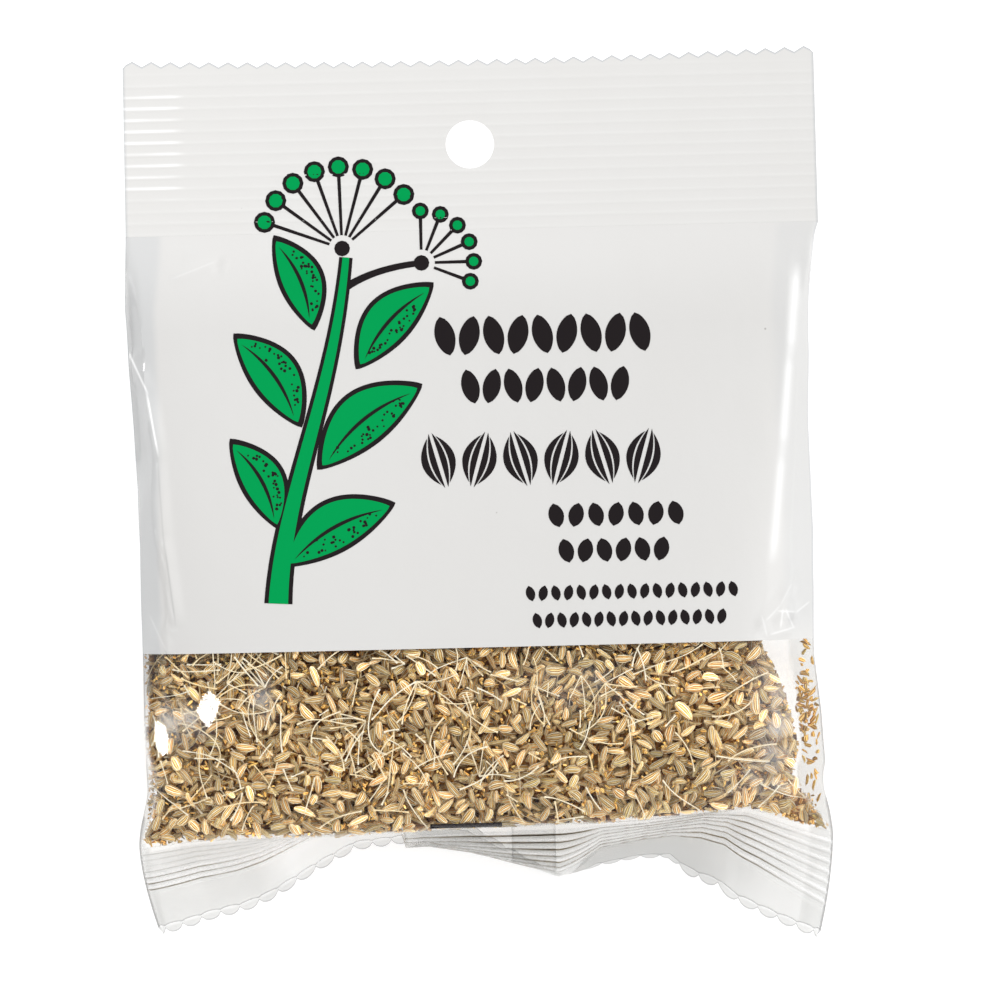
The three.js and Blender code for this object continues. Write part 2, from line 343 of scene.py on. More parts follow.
lobe = bulge(2 * (np.arange(RING) % TOOTH_COLUMNS) / TOOTH_COLUMNS - 1, TOOTH_POWER)
front_length = SEAL_LENGTH + SEAL_SKEW * seal_across - FRONT_SHEET_SHORT - FRONT_TOOTH_DEPTH * lobe
back_length = SEAL_LENGTH + SEAL_SKEW * seal_across - TOOTH_DEPTH * (1 - lobe)
seal_length = np.where(seal_side > 0, front_length, back_length)
seal_length[[0, COLUMNS]] = ((front_length + back_length) / 2)[[0, COLUMNS]]


def fin_row(share):
    """The ring at a share of the fin's length, from 0 at the seal line to 1 at the cut edge."""
    distance = share * seal_length
    angle = leaves + distance / seal_radius
    pinch = np.where(seal_across < 0, SEAL_PINCH["left"], SEAL_PINCH["right"])
    x = seal_ring[:, 0] * (1 - pinch * (distance / SEAL_LENGTH) ** PINCH_POWER) + middle_x
    y = bottom_seal_y + seal_drawn - seal_radius * (np.sin(angle) - np.sin(leaves))
    z = np.maximum(WELD / 2, seal_start - seal_radius * (np.cos(leaves) - np.cos(angle)))
    shift = seal_side * (WELD - FILM) / 2
    return np.stack([x, y - np.sin(angle) * shift, z + np.cos(angle) * shift], 1), distance


print(f"fin cut {seal_length.min():.1f} to {seal_length.max():.1f} mm long")

# %% [markdown]
# ## One grid for the whole tube
#
# The rows run from the cut edge of the fin to the top seal line. They are close together in the fin,
# whose pressed ribs are fine, and where the pouch turns steeply over its seal. Each point keeps its
# flat place on the film: millimetres across, millimetres along (negative in the fin), and the sheet
# that it is on. The finish of the film follows that flat place.

# %% Stack the rows
FIN_ROWS = 64
WINDOW_ROWS = 36
PRINTED_ROWS = 84
ROW_CROWDING = 1.6  # the higher, the closer the rows at the seal
rows = []
flats = []
for step in range(FIN_ROWS):
    points, distance = fin_row(1 - step / FIN_ROWS)
    rows.append(points)
    flats.append((seal_shares, -distance))
window_shares = PRINT_LINE * (np.arange(WINDOW_ROWS) / WINDOW_ROWS) ** ROW_CROWDING
for u in np.concatenate([window_shares, np.linspace(PRINT_LINE, 1, PRINTED_ROWS + 1)]):
    points, shares = pouch_row(u)
    rows.append(points)
    flats.append((shares, np.full(RING, u * POUCH_LENGTH)))
tube = np.array(rows)
flats = np.array(flats)
print_row = FIN_ROWS + WINDOW_ROWS
last_row = len(tube) - 1
side = np.broadcast_to(seal_side, tube.shape[:2])
tube_flat = np.stack([HALF_WIDTH * (2 * flats[:, 0] - 1), flats[:, 1], side], 2)


def grid_normals(points, closed):
    """Outward directions of a grid of points whose columns run across and whose rows run up."""
    across = np.roll(points, -1, 1) - np.roll(points, 1, 1) if closed else np.gradient(points, axis=1)
    normals = np.cross(across, np.gradient(points, axis=0))
    return normals / np.maximum(np.linalg.norm(normals, axis=2, keepdims=True), 1e-9)


tube_out = grid_normals(tube, closed=True)
print("tube grid:", tube.shape[:2])

# %% [markdown]
# ## Folds that a hand has made
#
# Handling leaves sharp folds in film: a bent line by the left edge, a crumpled patch by the right
# one, and a few light dents. Each is a straight line on the front. The film stands up or sinks along
# it like a low roof, and the fold dies out at its two ends. A fold reads as a fold only because
# light changes at its lines, so it has to be in the mesh. Along many of them a painted highlight
# line, or in shade a painted shade line, is laid on the white ink as well. A few small facets are
# pressed flat, and they mirror a lamp as bright spots.

# %% Lines of the folds
FOLDS = [  # start x, y, end x, y, height, width, strength of the painted highlight line (below 0: painted shade line)
    (-57.2, 25.6, -53.8, 18.3, 0.8, 1.8, 0.8),
    (-54.2, 19.3, -52.3, 8.0, 0.8, 1.8, 0.95),
    (-52.6, 9.5, -51.4, -9.7, 0.7, 1.8, -0.2),
    (-51.6, -5.4, -49.8, -19.9, 0.7, 1.8, -0.3),
    (-54.5, -17.4, -51, -24.4, 0.6, 1.6, 0.15),
    (48.0, -19.3, 51.4, -19.6, 0.5, 1.3, 0.3),
    (51.2, -19.8, 53.9, -17.9, -0.4, 1.2, 0.25),
    (49.1, -18.9, 48.6, -22.3, 0.6, 1.2, 0.35),
    (49.5, -18.9, 50.9, -22.3, -0.6, 1.2, 0.35),
    (46.6, -23.2, 51.2, -22.0, 0.6, 1.3, 0.3),
    (45.5, -19.8, 46.4, -23.7, 0.5, 1.2, 0.2),
    (50.8, -14.8, 48.6, -18.6, 0.6, 1.4, 0.15),
    (48.8, -18.3, 46.2, -20.9, 0.6, 1.4, 0.2),
    (46, -35.4, 52, -44.4, 0.3, 1.5, 0),
    (43, -44.4, 50, -52.4, 0.3, 1.6, 0),
    (-50, 37.3, -42, 40.3, 0.2, 1.6, 0.15),
    (-14, -50.7, -3, -54.2, 0.35, 1.8, 0),
    (6, -54.7, 20, -51.7, 0.35, 1.8, 0),
    (24, -51.2, 38, -52.7, 0.3, 1.8, 0),
    (-40, -51.2, -26, -53.7, 0.3, 1.8, 0),
]


def fold_heights(points, sides):
    x, y = points[..., 0], points[..., 1]
    total = np.zeros(x.shape)
    for x0, y0, x1, y1, height, width, _ in FOLDS:
        dx, dy = x1 - x0, y1 - y0
        length = math.hypot(dx, dy)
        along = ((x - x0) * dx + (y - y0) * dy) / length**2
        away = np.abs((x - x0) * dy - (y - y0) * dx) / length
        fades = np.clip(4 * along * (1 - along), 0, None) ** 0.7
        total += height * np.maximum(0, 1 - away / width) * fades
    return total * np.maximum(sides, 0)


FACETS = [  # x, y, half size across and along, slope across and along
    (-44.7, -33, 3.0, 6.0, 0.31, -0.37),
    (-52.7, -37.6, 2.5, 5.6, 0.3, -0.38),
    (-41.6, 39.3, 0.9, 0.9, 0.33, -0.28),
    (-54.6, -8.7, 2.0, 12, 1.3, 0),
]


def press_facets(points, sides):
    """The same points with small flat facets pressed into the front, and how far each is pressed."""
    x, y, pressed = points[..., 0], points[..., 1], points[..., 2].copy()
    flattened = np.zeros(x.shape)
    for x0, y0, half_across, half_along, slope_across, slope_along in FACETS:
        reach = np.hypot((x - x0) / half_across, (y - y0) / half_along) + 99 * (sides < 0)
        plane = pressed.flat[np.argmin(reach)] + slope_across * (x - x0) + slope_along * (y - y0)
        share = fall(reach, 1.4, 0.8)
        pressed += share * (plane - pressed)
        flattened = np.maximum(flattened, share)
    return np.stack([x, y, pressed], -1), flattened


flat_x, along, sheet_side = np.moveaxis(tube_flat, 2, 0)
tube_dent = fold_heights(tube, sheet_side) * rise(along, 0, 3) * fall(along, POUCH_LENGTH, 4)
tube, flattened = press_facets(tube + tube_out * tube_dent[..., None], sheet_side)
tube_out = grid_normals(tube, closed=True)
print(f"folds stand {tube_dent.min():.2f} to {tube_dent.max():.2f} mm off the film")


# %% [markdown]
# ## Helpers for meshes and node trees
#
# A piece is made from points and faces, and keeps named attributes for its finish. Node trees are
# built by name: one helper adds a node, sets its values and links its inputs. A Geometry Nodes
# result is turned into a plain mesh, and the modifier is taken off before the piece is handed over.

# %% Mesh helpers
def make_object(name, points, faces, attributes=None, edges=()):
    """A mesh object from points in millimetres. Attributes hold one number or vector for each point."""
    mesh = bpy.data.meshes.new(name)
    mesh.from_pydata((np.asarray(points) * MM).tolist(), list(edges), list(map(list, faces)))
    for key, values in (attributes or {}).items():
        values = np.asarray(values, np.float32)
        kind, field = ("FLOAT", "value") if values.ndim == 1 else ("FLOAT_VECTOR", "vector")
        mesh.attributes.new(key, kind, "POINT").data.foreach_set(field, values.ravel())
    mesh.update()
    piece = bpy.data.objects.new(name, mesh)
    bpy.context.scene.collection.objects.link(piece)
    return piece


def make_plain(piece, drop=()):
    """Replaces a piece's mesh by what its modifiers make of it."""
    graph = bpy.context.evaluated_depsgraph_get()
    made = bpy.data.meshes.new_from_object(piece.evaluated_get(graph), depsgraph=graph)
    piece.modifiers.clear()
    piece.data = made
    made.name = piece.name
    for key in drop:
        if key in made.attributes:
            made.attributes.remove(made.attributes[key])


def vertex_places(piece):
    """The corners of a piece in metres, as one long row of numbers."""
    places = np.empty(len(piece.data.vertices) * 3, np.float32)
    piece.data.vertices.foreach_get("co", places)
    return places


def smooth(piece, sharp_above=40):
    piece.data.shade_smooth()
    piece.data.set_sharp_from_angle(angle=math.radians(sharp_above))


def hand_over(piece):
    """Puts a finished piece on the root body, hides the imported bag and prints how many triangles it has."""
    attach(piece, "root")
    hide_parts("seed_bag")
    piece.data.calc_loop_triangles()
    print(f"{piece.name}: {len(piece.data.loop_triangles)} triangles, {time.time() - started:.0f} s")


# %% Node helpers
def join(tree, value, socket):
    """Links an output socket to an input socket, or sets the input to a plain value."""
    if isinstance(value, bpy.types.NodeSocket):
        tree.links.new(value, socket)
    else:
        socket.default_value = value


def add_node(tree, kind, inputs=None, **settings):
    node = tree.nodes.new(kind)
    for key, value in settings.items():
        setattr(node, key, value)
    for key, value in (inputs or {}).items():
        join(tree, value, node.inputs[key])
    return node


def maths(tree, operation, *values):
    return add_node(tree, "ShaderNodeMath", dict(enumerate(values)), operation=operation).outputs[0]


def times(tree, first, second):
    return maths(tree, "MULTIPLY", first, second)


def gauss(tree, value, width):
    """1 where the value is 0, falling off to both sides."""
    squared = maths(tree, "POWER", maths(tree, "DIVIDE", value, width), 2)
    return maths(tree, "EXPONENT", times(tree, squared, -1))


def vector_maths(tree, operation, first, second, output="Vector"):
    inputs = {0: first, 1: second}
    return add_node(tree, "ShaderNodeVectorMath", inputs, operation=operation).outputs[output]


def scaled(tree, vector, factor):
    inputs = {0: vector, "Scale": factor}
    return add_node(tree, "ShaderNodeVectorMath", inputs, operation="SCALE").outputs[0]


def parts_of(tree, vector):
    return add_node(tree, "ShaderNodeSeparateXYZ", {0: vector}).outputs


def ramp(tree, value, low, high, to_low=0.0, to_high=1.0, **settings):
    """Maps a value between low and high to a value between to_low and to_high."""
    ends = {"Value": value, "From Min": low, "From Max": high, "To Min": to_low, "To Max": to_high}
    return add_node(tree, "ShaderNodeMapRange", ends, **settings).outputs[0]


def noise(tree, vector, scale, detail=2.0):
    inputs = {"Vector": vector, "Scale": scale, "Detail": detail}
    return add_node(tree, "ShaderNodeTexNoise", inputs).outputs[0]


def new_tree(name, kind, inputs, outputs):
    """A node group with named sockets, given as (name, socket type, value)."""
    tree = bpy.data.node_groups.new(name, kind)
    for label, socket_type, value in inputs:
        socket = tree.interface.new_socket(name=label, in_out="INPUT", socket_type="NodeSocket" + socket_type)
        if value is not None:
            socket.default_value = value
    for label, socket_type in outputs:
        tree.interface.new_socket(name=label, in_out="OUTPUT", socket_type="NodeSocket" + socket_type)
    start = tree.nodes.new("NodeGroupInput")
    end = tree.nodes.new("NodeGroupOutput")
    return tree, start.outputs, end.inputs


def run_tree(piece, tree, values, drop):
    """Runs a Geometry Nodes tree on a piece and keeps the result as the piece's plain mesh."""
    modifier = piece.modifiers.new(tree.name, "NODES")
    modifier.node_group = tree
    for socket in tree.interface.items_tree:
        if socket.in_out == "INPUT" and socket.name in values:
            modifier[socket.identifier] = values[socket.name]
    make_plain(piece, drop)


def read_attribute(tree, name, data_type="FLOAT"):
    return add_node(tree, "GeometryNodeInputNamedAttribute", {"Name": name}, data_type=data_type).outputs[0]


def geometry_tree(name, inputs):
    """A Geometry Nodes group that takes geometry, the inputs and a material, and gives geometry."""
    inputs = [("Geometry", "Geometry", None), *inputs, ("Material", "Material", None)]
    return new_tree(name, "GeometryNodeTree", inputs, [("Geometry", "Geometry")])


def finish_tree(tree, geometry, given, result):
    """Ends a tree as all of them end: real geometry, with its material on it."""
    real = add_node(tree, "GeometryNodeRealizeInstances", {"Geometry": geometry})
    inputs = {"Geometry": real.outputs[0], "Material": given["Material"]}
    coated = add_node(tree, "GeometryNodeSetMaterial", inputs)
    tree.links.new(coated.outputs[0], result["Geometry"])


# %% [markdown]
# ## The relief of the film
#
# The jaws that weld the film press even ribs into it, and the rest of the film is never quite
# smooth. Both follow the flat place of each point, so one Geometry Nodes tree makes them for every
# piece of film: it pushes each point along its outward direction. The ribs are narrow ridges at an
# even pitch, as strong as the attribute weld says. The sag is slow noise, and the wrinkles are finer
# noise stretched along the bag. Inner and outer faces read the same place, so the film keeps its
# thickness.

# %% Geometry Nodes: relief
FIN_RIB_PITCH = 1.3
HEADER_RIB_PITCH = 1.9
relief, given, result = geometry_tree(
    "film relief",
    [
        ("Rib Pitch", "Float", FIN_RIB_PITCH),
        ("Rib Width", "Float", 0.2),
        ("Rib Height", "Float", 0.18),
        ("Sag", "Float", 0.12),
        ("Wrinkle", "Float", 0.07),
    ],
)
rest = read_attribute(relief, "rest", "FLOAT_VECTOR")
flat_y = parts_of(relief, read_attribute(relief, "flat", "FLOAT_VECTOR"))["Y"]
from_rib = maths(relief, "PINGPONG", flat_y, times(relief, given["Rib Pitch"], 0.5))
rib = times(relief, gauss(relief, from_rib, given["Rib Width"]), given["Rib Height"])
rib = times(relief, rib, read_attribute(relief, "weld"))


def relief_noise(turns, stretch, detail, height):
    """Noise around zero, with so many turns for each millimetre, and longer along Y by the stretch."""
    wave = noise(relief, vector_maths(relief, "MULTIPLY", rest, (1, 1 / stretch, 1)), turns, detail)
    return times(relief, maths(relief, "MULTIPLY_ADD", wave, 2, -1), height)


sag = relief_noise(turns=1 / 19, stretch=1.4, detail=1.0, height=given["Sag"])
wrinkle = relief_noise(turns=1 / 4.5, stretch=2.6, detail=2.0, height=given["Wrinkle"])
loose = times(relief, maths(relief, "ADD", sag, wrinkle), read_attribute(relief, "slack"))
push = times(relief, maths(relief, "ADD", rib, loose), MM)
offset = scaled(relief, read_attribute(relief, "out", "FLOAT_VECTOR"), push)
moved = add_node(relief, "GeometryNodeSetPosition", {"Geometry": given["Geometry"], "Offset": offset})
finish_tree(relief, moved.outputs[0], given, result)
print("relief tree has", len(relief.nodes), "nodes")

# %% [markdown]
# ## Finishes of the film
#
# Clear film shows what is behind it, takes away a little light at each face, and mirrors the lights
# on its surface. The mirror share follows the angle of view, so it is mixed by the Facing value of
# Layer Weight, raised to the fifth power, which is the usual short form of Fresnel's law. A pressed
# rib bends light away on one flank and catches it on the other, which gives a dark line beside a pale
# one. Here that light is painted: a node group draws the painted shade line and the painted highlight
# line from the flat place. How strong they are at each point comes from an attribute of three parts,
# whose third part is painted shade, high on cut edges and side folds, where film looks darker.

# %% Shader group: painted shade and painted highlight lines beside the pressed ribs
def shader_attribute(tree, name, output="Fac"):
    return add_node(tree, "ShaderNodeAttribute", attribute_name=name).outputs[output]


def object_place(tree):
    return add_node(tree, "ShaderNodeTexCoord").outputs["Object"]


painted_rib_lines, given, result = new_tree(
    "rib lines",
    "ShaderNodeTree",
    [("Pitch", "Float", FIN_RIB_PITCH), ("Dark Width", "Float", 0.14), ("Light Width", "Float", 0.24)],
    [("Dark", "Float"), ("Light", "Float"), ("Edge", "Float")],
)
line_flat = shader_attribute(painted_rib_lines, "flat", "Vector")
marks = parts_of(painted_rib_lines, shader_attribute(painted_rib_lines, "marks", "Vector"))
turns = maths(painted_rib_lines, "DIVIDE", parts_of(painted_rib_lines, line_flat)["Y"], given["Pitch"])
beside = maths(painted_rib_lines, "SUBTRACT", turns, maths(painted_rib_lines, "ROUND", turns))
beside = times(painted_rib_lines, beside, given["Pitch"])
LINES = [("Dark", "X", 0.2, 0.045), ("Light", "Y", -0.25, 0.06)]  # part of the painted marks, offset, patch scale
# Dark is a painted shade line and Light a painted highlight line beside each rib
for label, part, offset, patches in LINES:
    patchy = noise(painted_rib_lines, vector_maths(painted_rib_lines, "MULTIPLY", line_flat, (1, 7, 1)), patches)
    strength = times(painted_rib_lines, ramp(painted_rib_lines, patchy, 0.32, 0.58, 0.25), marks[part])
    line = gauss(painted_rib_lines, maths(painted_rib_lines, "ADD", beside, offset), given[label + " Width"])
    painted_rib_lines.links.new(times(painted_rib_lines, line, strength), result[label])
# Edge is painted shade on cut edges and side folds
painted_rib_lines.links.new(marks["Z"], result["Edge"])


def new_material(name):
    material = bpy.data.materials.new(name)
    material.use_nodes = True
    tree = material.node_tree
    tree.nodes.clear()
    output = tree.nodes.new("ShaderNodeOutputMaterial")
    return material, tree, output.inputs["Surface"]


def mix_colors(tree, share, first, second):
    return add_node(tree, "ShaderNodeMix", {0: share, 6: first, 7: second}, data_type="RGBA").outputs[2]


def lay_over(tree, color, layers):
    """The colour with further ones laid over it, each by a share and the strength of that share."""
    for share, strength, over in layers:
        color = mix_colors(tree, times(tree, share, strength), color, over)
    return color


def principled(tree, inputs):
    return add_node(tree, "ShaderNodeBsdfPrincipled", inputs).outputs[0]


def rgba(red, green, blue):
    return (red, green, blue, 1)


def grey(level):
    return rgba(level, level, level)


# %% Clear film
MIRROR_AT_EDGE = 0.9
MIRROR_FACE_ON = 0.007
clear_film, tree, surface = new_material("clear_film")
lines = add_node(tree, "ShaderNodeGroup", node_tree=painted_rib_lines).outputs
tint = mix_colors(tree, shader_attribute(tree, "grey"), rgba(0.985, 0.985, 0.983), rgba(0.87, 0.87, 0.865))
# painted shade lines beside the ribs turn the tint brown-grey, painted highlight lines turn it white, and
# painted shade greys cut edges and folds
rib_shade_color = mix_colors(tree, lines["Dark"], grey(0.6), rgba(0.38, 0.3, 0.17))
layers = [(lines["Light"], 0.8, grey(0.99)), (lines["Dark"], 0.95, rib_shade_color)]
tint = lay_over(tree, tint, [*layers, (lines["Edge"], 0.7, grey(0.6))])
through = add_node(tree, "ShaderNodeBsdfTransparent", {"Color": tint})
# white cloud mixed in by the haze attribute: painted reflection veils and a faint haze
cloudy = noise(tree, shader_attribute(tree, "flat", "Vector"), 0.35, 4)
haze_share = times(tree, ramp(tree, cloudy, 0.35, 0.7, 0.15), shader_attribute(tree, "haze"))
# painted highlight lines also cloud the film white
haze_share = maths(tree, "MULTIPLY_ADD", lines["Light"], 0.12, haze_share)
haze = principled(tree, {"Base Color": rgba(0.88, 0.88, 0.87), "Roughness": 0.5, "Specular IOR Level": 0.2})
film = add_node(tree, "ShaderNodeMixShader", {0: haze_share, 1: through.outputs[0], 2: haze})
gloss = add_node(tree, "ShaderNodeBsdfGlossy", {"Color": grey(1), "Roughness": 0.05})
facing = add_node(tree, "ShaderNodeLayerWeight", {"Blend": 0.5}).outputs["Facing"]
mirror = maths(tree, "MULTIPLY_ADD", maths(tree, "POWER", facing, 5), MIRROR_AT_EDGE, MIRROR_FACE_ON)
mirror = times(tree, mirror, add_node(tree, "ShaderNodeLightPath").outputs["Is Camera Ray"])
glossy_film = add_node(tree, "ShaderNodeMixShader", {0: mirror, 1: film.outputs[0], 2: gloss.outputs[0]})
tree.links.new(glossy_film.outputs[0], surface)
print("clear film ready")


# %% [markdown]
# A sharp fold catches the lamps along a crisp pale line, and one in shade shows a dark one. These are
# painted highlight and painted shade lines. They are much finer than the mesh, so a node group draws
# them: the share of a soft line between two points, seen from above, on the front sheet only. The ink
# of the pouch is also a little greyer than that of the header, and one fades into the other towards
# the seal.

# %% Shader group: a painted highlight or shade line along a fold
painted_fold_line, given, result = new_tree(
    "fold line",
    "ShaderNodeTree",
    [("Start", "Vector", (0, 0, 0)), ("End", "Vector", (0, 1, 0)), ("Width", "Float", 0.3)],
    [("Share", "Float")],
)
spot = vector_maths(painted_fold_line, "MULTIPLY", object_place(painted_fold_line), (1 / MM, 1 / MM, 0))
from_start = vector_maths(painted_fold_line, "SUBTRACT", spot, given["Start"])
ahead = vector_maths(painted_fold_line, "SUBTRACT", given["End"], given["Start"])
along_line = vector_maths(painted_fold_line, "DOT_PRODUCT", from_start, ahead, "Value")
line_squared = vector_maths(painted_fold_line, "DOT_PRODUCT", ahead, ahead, "Value")
along_line = maths(painted_fold_line, "DIVIDE", along_line, line_squared)
clamped = maths(painted_fold_line, "MINIMUM", maths(painted_fold_line, "MAXIMUM", along_line, 0), 1)
nearest = scaled(painted_fold_line, ahead, clamped)
away = vector_maths(painted_fold_line, "DISTANCE", from_start, nearest, "Value")
to_end = maths(painted_fold_line, "PINGPONG", clamped, 0.5)
line_share = gauss(painted_fold_line, away, given["Width"])
line_share = times(painted_fold_line, line_share, ramp(painted_fold_line, to_end, 0, 0.2))
sheet = parts_of(painted_fold_line, shader_attribute(painted_fold_line, "flat", "Vector"))["Z"]
on_front = maths(painted_fold_line, "GREATER_THAN", sheet, 0)
painted_fold_line.links.new(times(painted_fold_line, line_share, on_front), result["Share"])


# %% White printed film
def white_film(name, white, white_above, painted_lines=()):
    """White ink behind glossy film: a little cloudy, with specks, painted highlight and shade lines by ribs
    and folds, and painted shade at edges.
    """
    material, tree, surface = new_material(name)
    lines = add_node(tree, "ShaderNodeGroup", {"Pitch": HEADER_RIB_PITCH}, node_tree=painted_rib_lines).outputs
    place = object_place(tree)
    warm = rgba(white * 0.985, white * 0.972, white * 0.95)
    shade = mix_colors(tree, noise(tree, place, 90, 4), warm, rgba(white, white * 0.992, white * 0.975))
    # painted shade and painted highlight lines beside the ribs, and painted shade on cut edges and side folds
    layers = [
        (lines["Dark"], 0.5, rgba(0.6, 0.59, 0.57)),
        (lines["Light"], 0.75, grey(0.97)),
        (lines["Edge"], 0.7, rgba(0.4, 0.43, 0.46)),
    ]
    shade = lay_over(tree, shade, layers)
    flat_y = parts_of(tree, shader_attribute(tree, "flat", "Vector"))["Y"]
    fade = (white_above - white) / (1 - white)
    fade = ramp(tree, flat_y, POUCH_LENGTH - FADE_LENGTH, POUCH_LENGTH, 0.0, fade)
    shade = mix_colors(tree, fade, shade, rgba(1, 0.99, 0.98))
    # painted highlight lines along folds and the right crease, and painted shade lines where the strength is
    # below 0
    for x0, y0, x1, y1, width, strength in painted_lines:
        inputs = {"Start": (x0, y0, 0), "End": (x1, y1, 0), "Width": width}
        line = add_node(tree, "ShaderNodeGroup", inputs, node_tree=painted_fold_line)
        tone = grey(HIGHLIGHT_WHITE if strength > 0 else FOLD_SHADE_GREY)
        shade = lay_over(tree, shade, [(line.outputs[0], abs(strength), tone)])
    spots = add_node(tree, "ShaderNodeTexVoronoi", {"Vector": place, "Scale": 95}).outputs["Distance"]
    shade = mix_colors(tree, ramp(tree, spots, 0.012, 0.02, 0.5, 0.0), shade, rgba(0.2, 0.18, 0.16))
    grain = noise(tree, place, 900)
    bump = add_node(tree, "ShaderNodeBump", {"Height": grain, "Strength": 0.06, "Distance": 0.0002})
    skin = {"Base Color": shade, "Roughness": 0.16, "Specular IOR Level": 0.45, "Normal": bump.outputs[0]}
    tree.links.new(principled(tree, skin), surface)
    return material


HIGHLIGHT_WHITE = 0.98  # how white a painted highlight line is
FOLD_SHADE_GREY = 0.3  # how grey a painted shade line is along a fold that lies in shade
PAINTED_LINE_WIDTH = 0.17
PANEL_WHITE = 0.645
HEADER_WHITE = 0.7
FADE_LENGTH = 16
PAINTED_HIGHLIGHT_BAND = [(53.3, 38, 51.6, 22), (51.6, 24, 49.8, 6), (49.9, 8, 47.5, -12)]  # a painted highlight band along the right crease
BAND_WIDTH = 0.7
BAND_SHARE = 0.45
# painted highlight and shade lines on the folds, and the painted highlight band
painted_lines = [(*fold[:4], PAINTED_LINE_WIDTH, fold[6]) for fold in FOLDS if fold[6]]
painted_lines += [(*band, BAND_WIDTH, BAND_SHARE) for band in PAINTED_HIGHLIGHT_BAND]
printed_white = white_film("printed_film", PANEL_WHITE, HEADER_WHITE, painted_lines)
header_white = white_film("header_film", HEADER_WHITE, HEADER_WHITE)
print("white films ready")

# %% [markdown]
# ## Film pieces
#
# A piece of film is a thin closed shell: the grid moved half a thickness outward, the same grid moved
# inward, and rims that join them at both ends. The clear piece holds the fin and the window, and the
# printed piece the rest of the pouch. They meet at the print line, point on point, because both are
# cut from one grid.


# %% Shells of film
def grid_quads(here, beside):
    return np.stack([here[:-1], beside[:-1], beside[1:], here[1:]], -1).reshape(-1, 4)


def wall_quads(start, end, count):
    """Quads from an edge of the first grid to the same edge of the second, count corners further on."""
    return np.stack([start, end, end + count, start + count], -1)


def shell_faces(row_count, column_count, closed):
    """Quads of an outer grid, an inner grid and the rims between them."""
    index = np.arange(row_count * column_count).reshape(row_count, column_count)
    beside = np.roll(index, -1, 1) if closed else index[:, 1:]
    here = index if closed else index[:, :-1]
    outer = grid_quads(here, beside)
    low = wall_quads(beside[0], here[0], index.size)
    high = wall_quads(here[-1], beside[-1], index.size)
    parts = [outer, outer[:, ::-1] + index.size, low, high]
    if not closed:
        for edge, step in ((index[:, 0], 1), (index[:, -1], -1)):
            parts.append(wall_quads(edge[:-1], edge[1:], index.size)[:, ::step])
    return np.concatenate(parts)


def film_shell(name, grid, thickness, closed, material, pitch=FIN_RIB_PITCH):
    """A closed shell round a grid of middle points, with the relief tree run over it."""
    middle, outward = grid["rest"], grid["out"]
    count = middle.shape[0] * middle.shape[1]
    both = [(middle + outward * offset).reshape(count, 3) for offset in (thickness / 2, -thickness / 2)]
    twice = {}
    for key, values in grid.items():
        values = np.asarray(values).reshape(count, -1)
        twice[key] = np.tile(values, (2, 1)) if values.shape[1] == 3 else np.tile(values[:, 0], 2)
    faces = shell_faces(middle.shape[0], middle.shape[1], closed)
    piece = make_object(name, np.concatenate(both), faces, twice)
    run_tree(piece, relief, {"Material": material, "Rib Pitch": pitch}, drop=("rest", "out", "slack"))
    points = vertex_places(piece)
    least = np.where(np.arange(2 * count) < count, 0.0, thickness * MM)
    points[2::3] = np.maximum(points[2::3], least)
    piece.data.vertices.foreach_set("co", points)
    smooth(piece)
    return piece


# %% What the finish of the tube reads
PAINTED_VEIL_SPOTS = [  # x, y, reach in x and y, strength: painted veils of reflected light on the window film
    (-49.8, -35.1, 4, 2.4, 0.4),
    (-36, -31.7, 2, 3, 0.2),
    (47.5, -36.2, 3, 8, 0.32),
    (45, -46.7, 6, 3, 0.15),
    (14, -30.7, 9, 3, 0.08),
]


def painted_veil_at(points):
    x, y = points[..., 0], points[..., 1]
    spots = [s * np.exp(-(((x - a) / ra) ** 2) - ((y - b) / rb) ** 2) for a, b, ra, rb, s in PAINTED_VEIL_SPOTS]
    return sum(spots) * (side > 0)


FIN_STATIONS = {  # across the fin: share of the half width, and the value there
    "rib end": [(-1, 8.2), (-0.5, 9.4), (0, 10.4), (0.7, 10.4), (0.76, 10.8), (1, 13.8)],
    # dark and light: strengths of the painted shade and painted highlight lines beside the ribs
    "dark": [(-1, 0.6), (-0.8, 0.9), (-0.5, 0.9), (-0.2, 1), (0.7, 1), (0.76, 0.7), (0.86, 0.2), (1, 0.05)],
    "light": [(-1, 2.2), (-0.5, 2.2), (0, 1.3), (0.7, 1), (0.85, 1.1), (1, 1.2)],
    "layers": [(-0.66, 1), (-0.56, 0.1), (-0.25, 0.1), (-0.18, 1)],
    "grey": [(-1, 0.42), (-0.5, 0.42), (-0.2, 0.7), (0.6, 0.7), (0.8, 0.35), (1, 0.25)],
}
RIB_END = 10.4  # mm from the seal line to the last rib in the middle of the fin
across = flat_x / HALF_WIDTH
fin_at = {key: np.interp(across, *zip(*stations)) for key, stations in FIN_STATIONS.items()}
fin_share = fall(along, -0.4, 0.8)
rib_end = fin_at["rib end"]
ribbed_share = fin_share * rise(along, -rib_end, 1)
rib_flat = tube_flat.copy()
rib_flat[..., 1] *= np.where(along < 0, RIB_END / rib_end, 1)
near_fold = rise(np.abs(flat_x), 34, 20)
strip_share = rise(flat_x, 50.6, 0.8) + fall(flat_x, -52.8, 0.8)
front_end = SEAL_LENGTH + SEAL_SKEW * across - FRONT_SHEET_SHORT
alone = fall(along, -front_end, 0.3) * (side < 0)
outer_ribs = 1 - fall(across, -0.3, 0.1) * rise(along, -5.8, 1.2)
rib_shade_lines = fin_at["dark"] * (0.35 + 0.65 * outer_ribs)
rib_highlight_lines = fin_at["light"] * (0.25 + 0.75 * outer_ribs)
fin_grey = fin_at["grey"] * fin_share * fin_at["layers"]
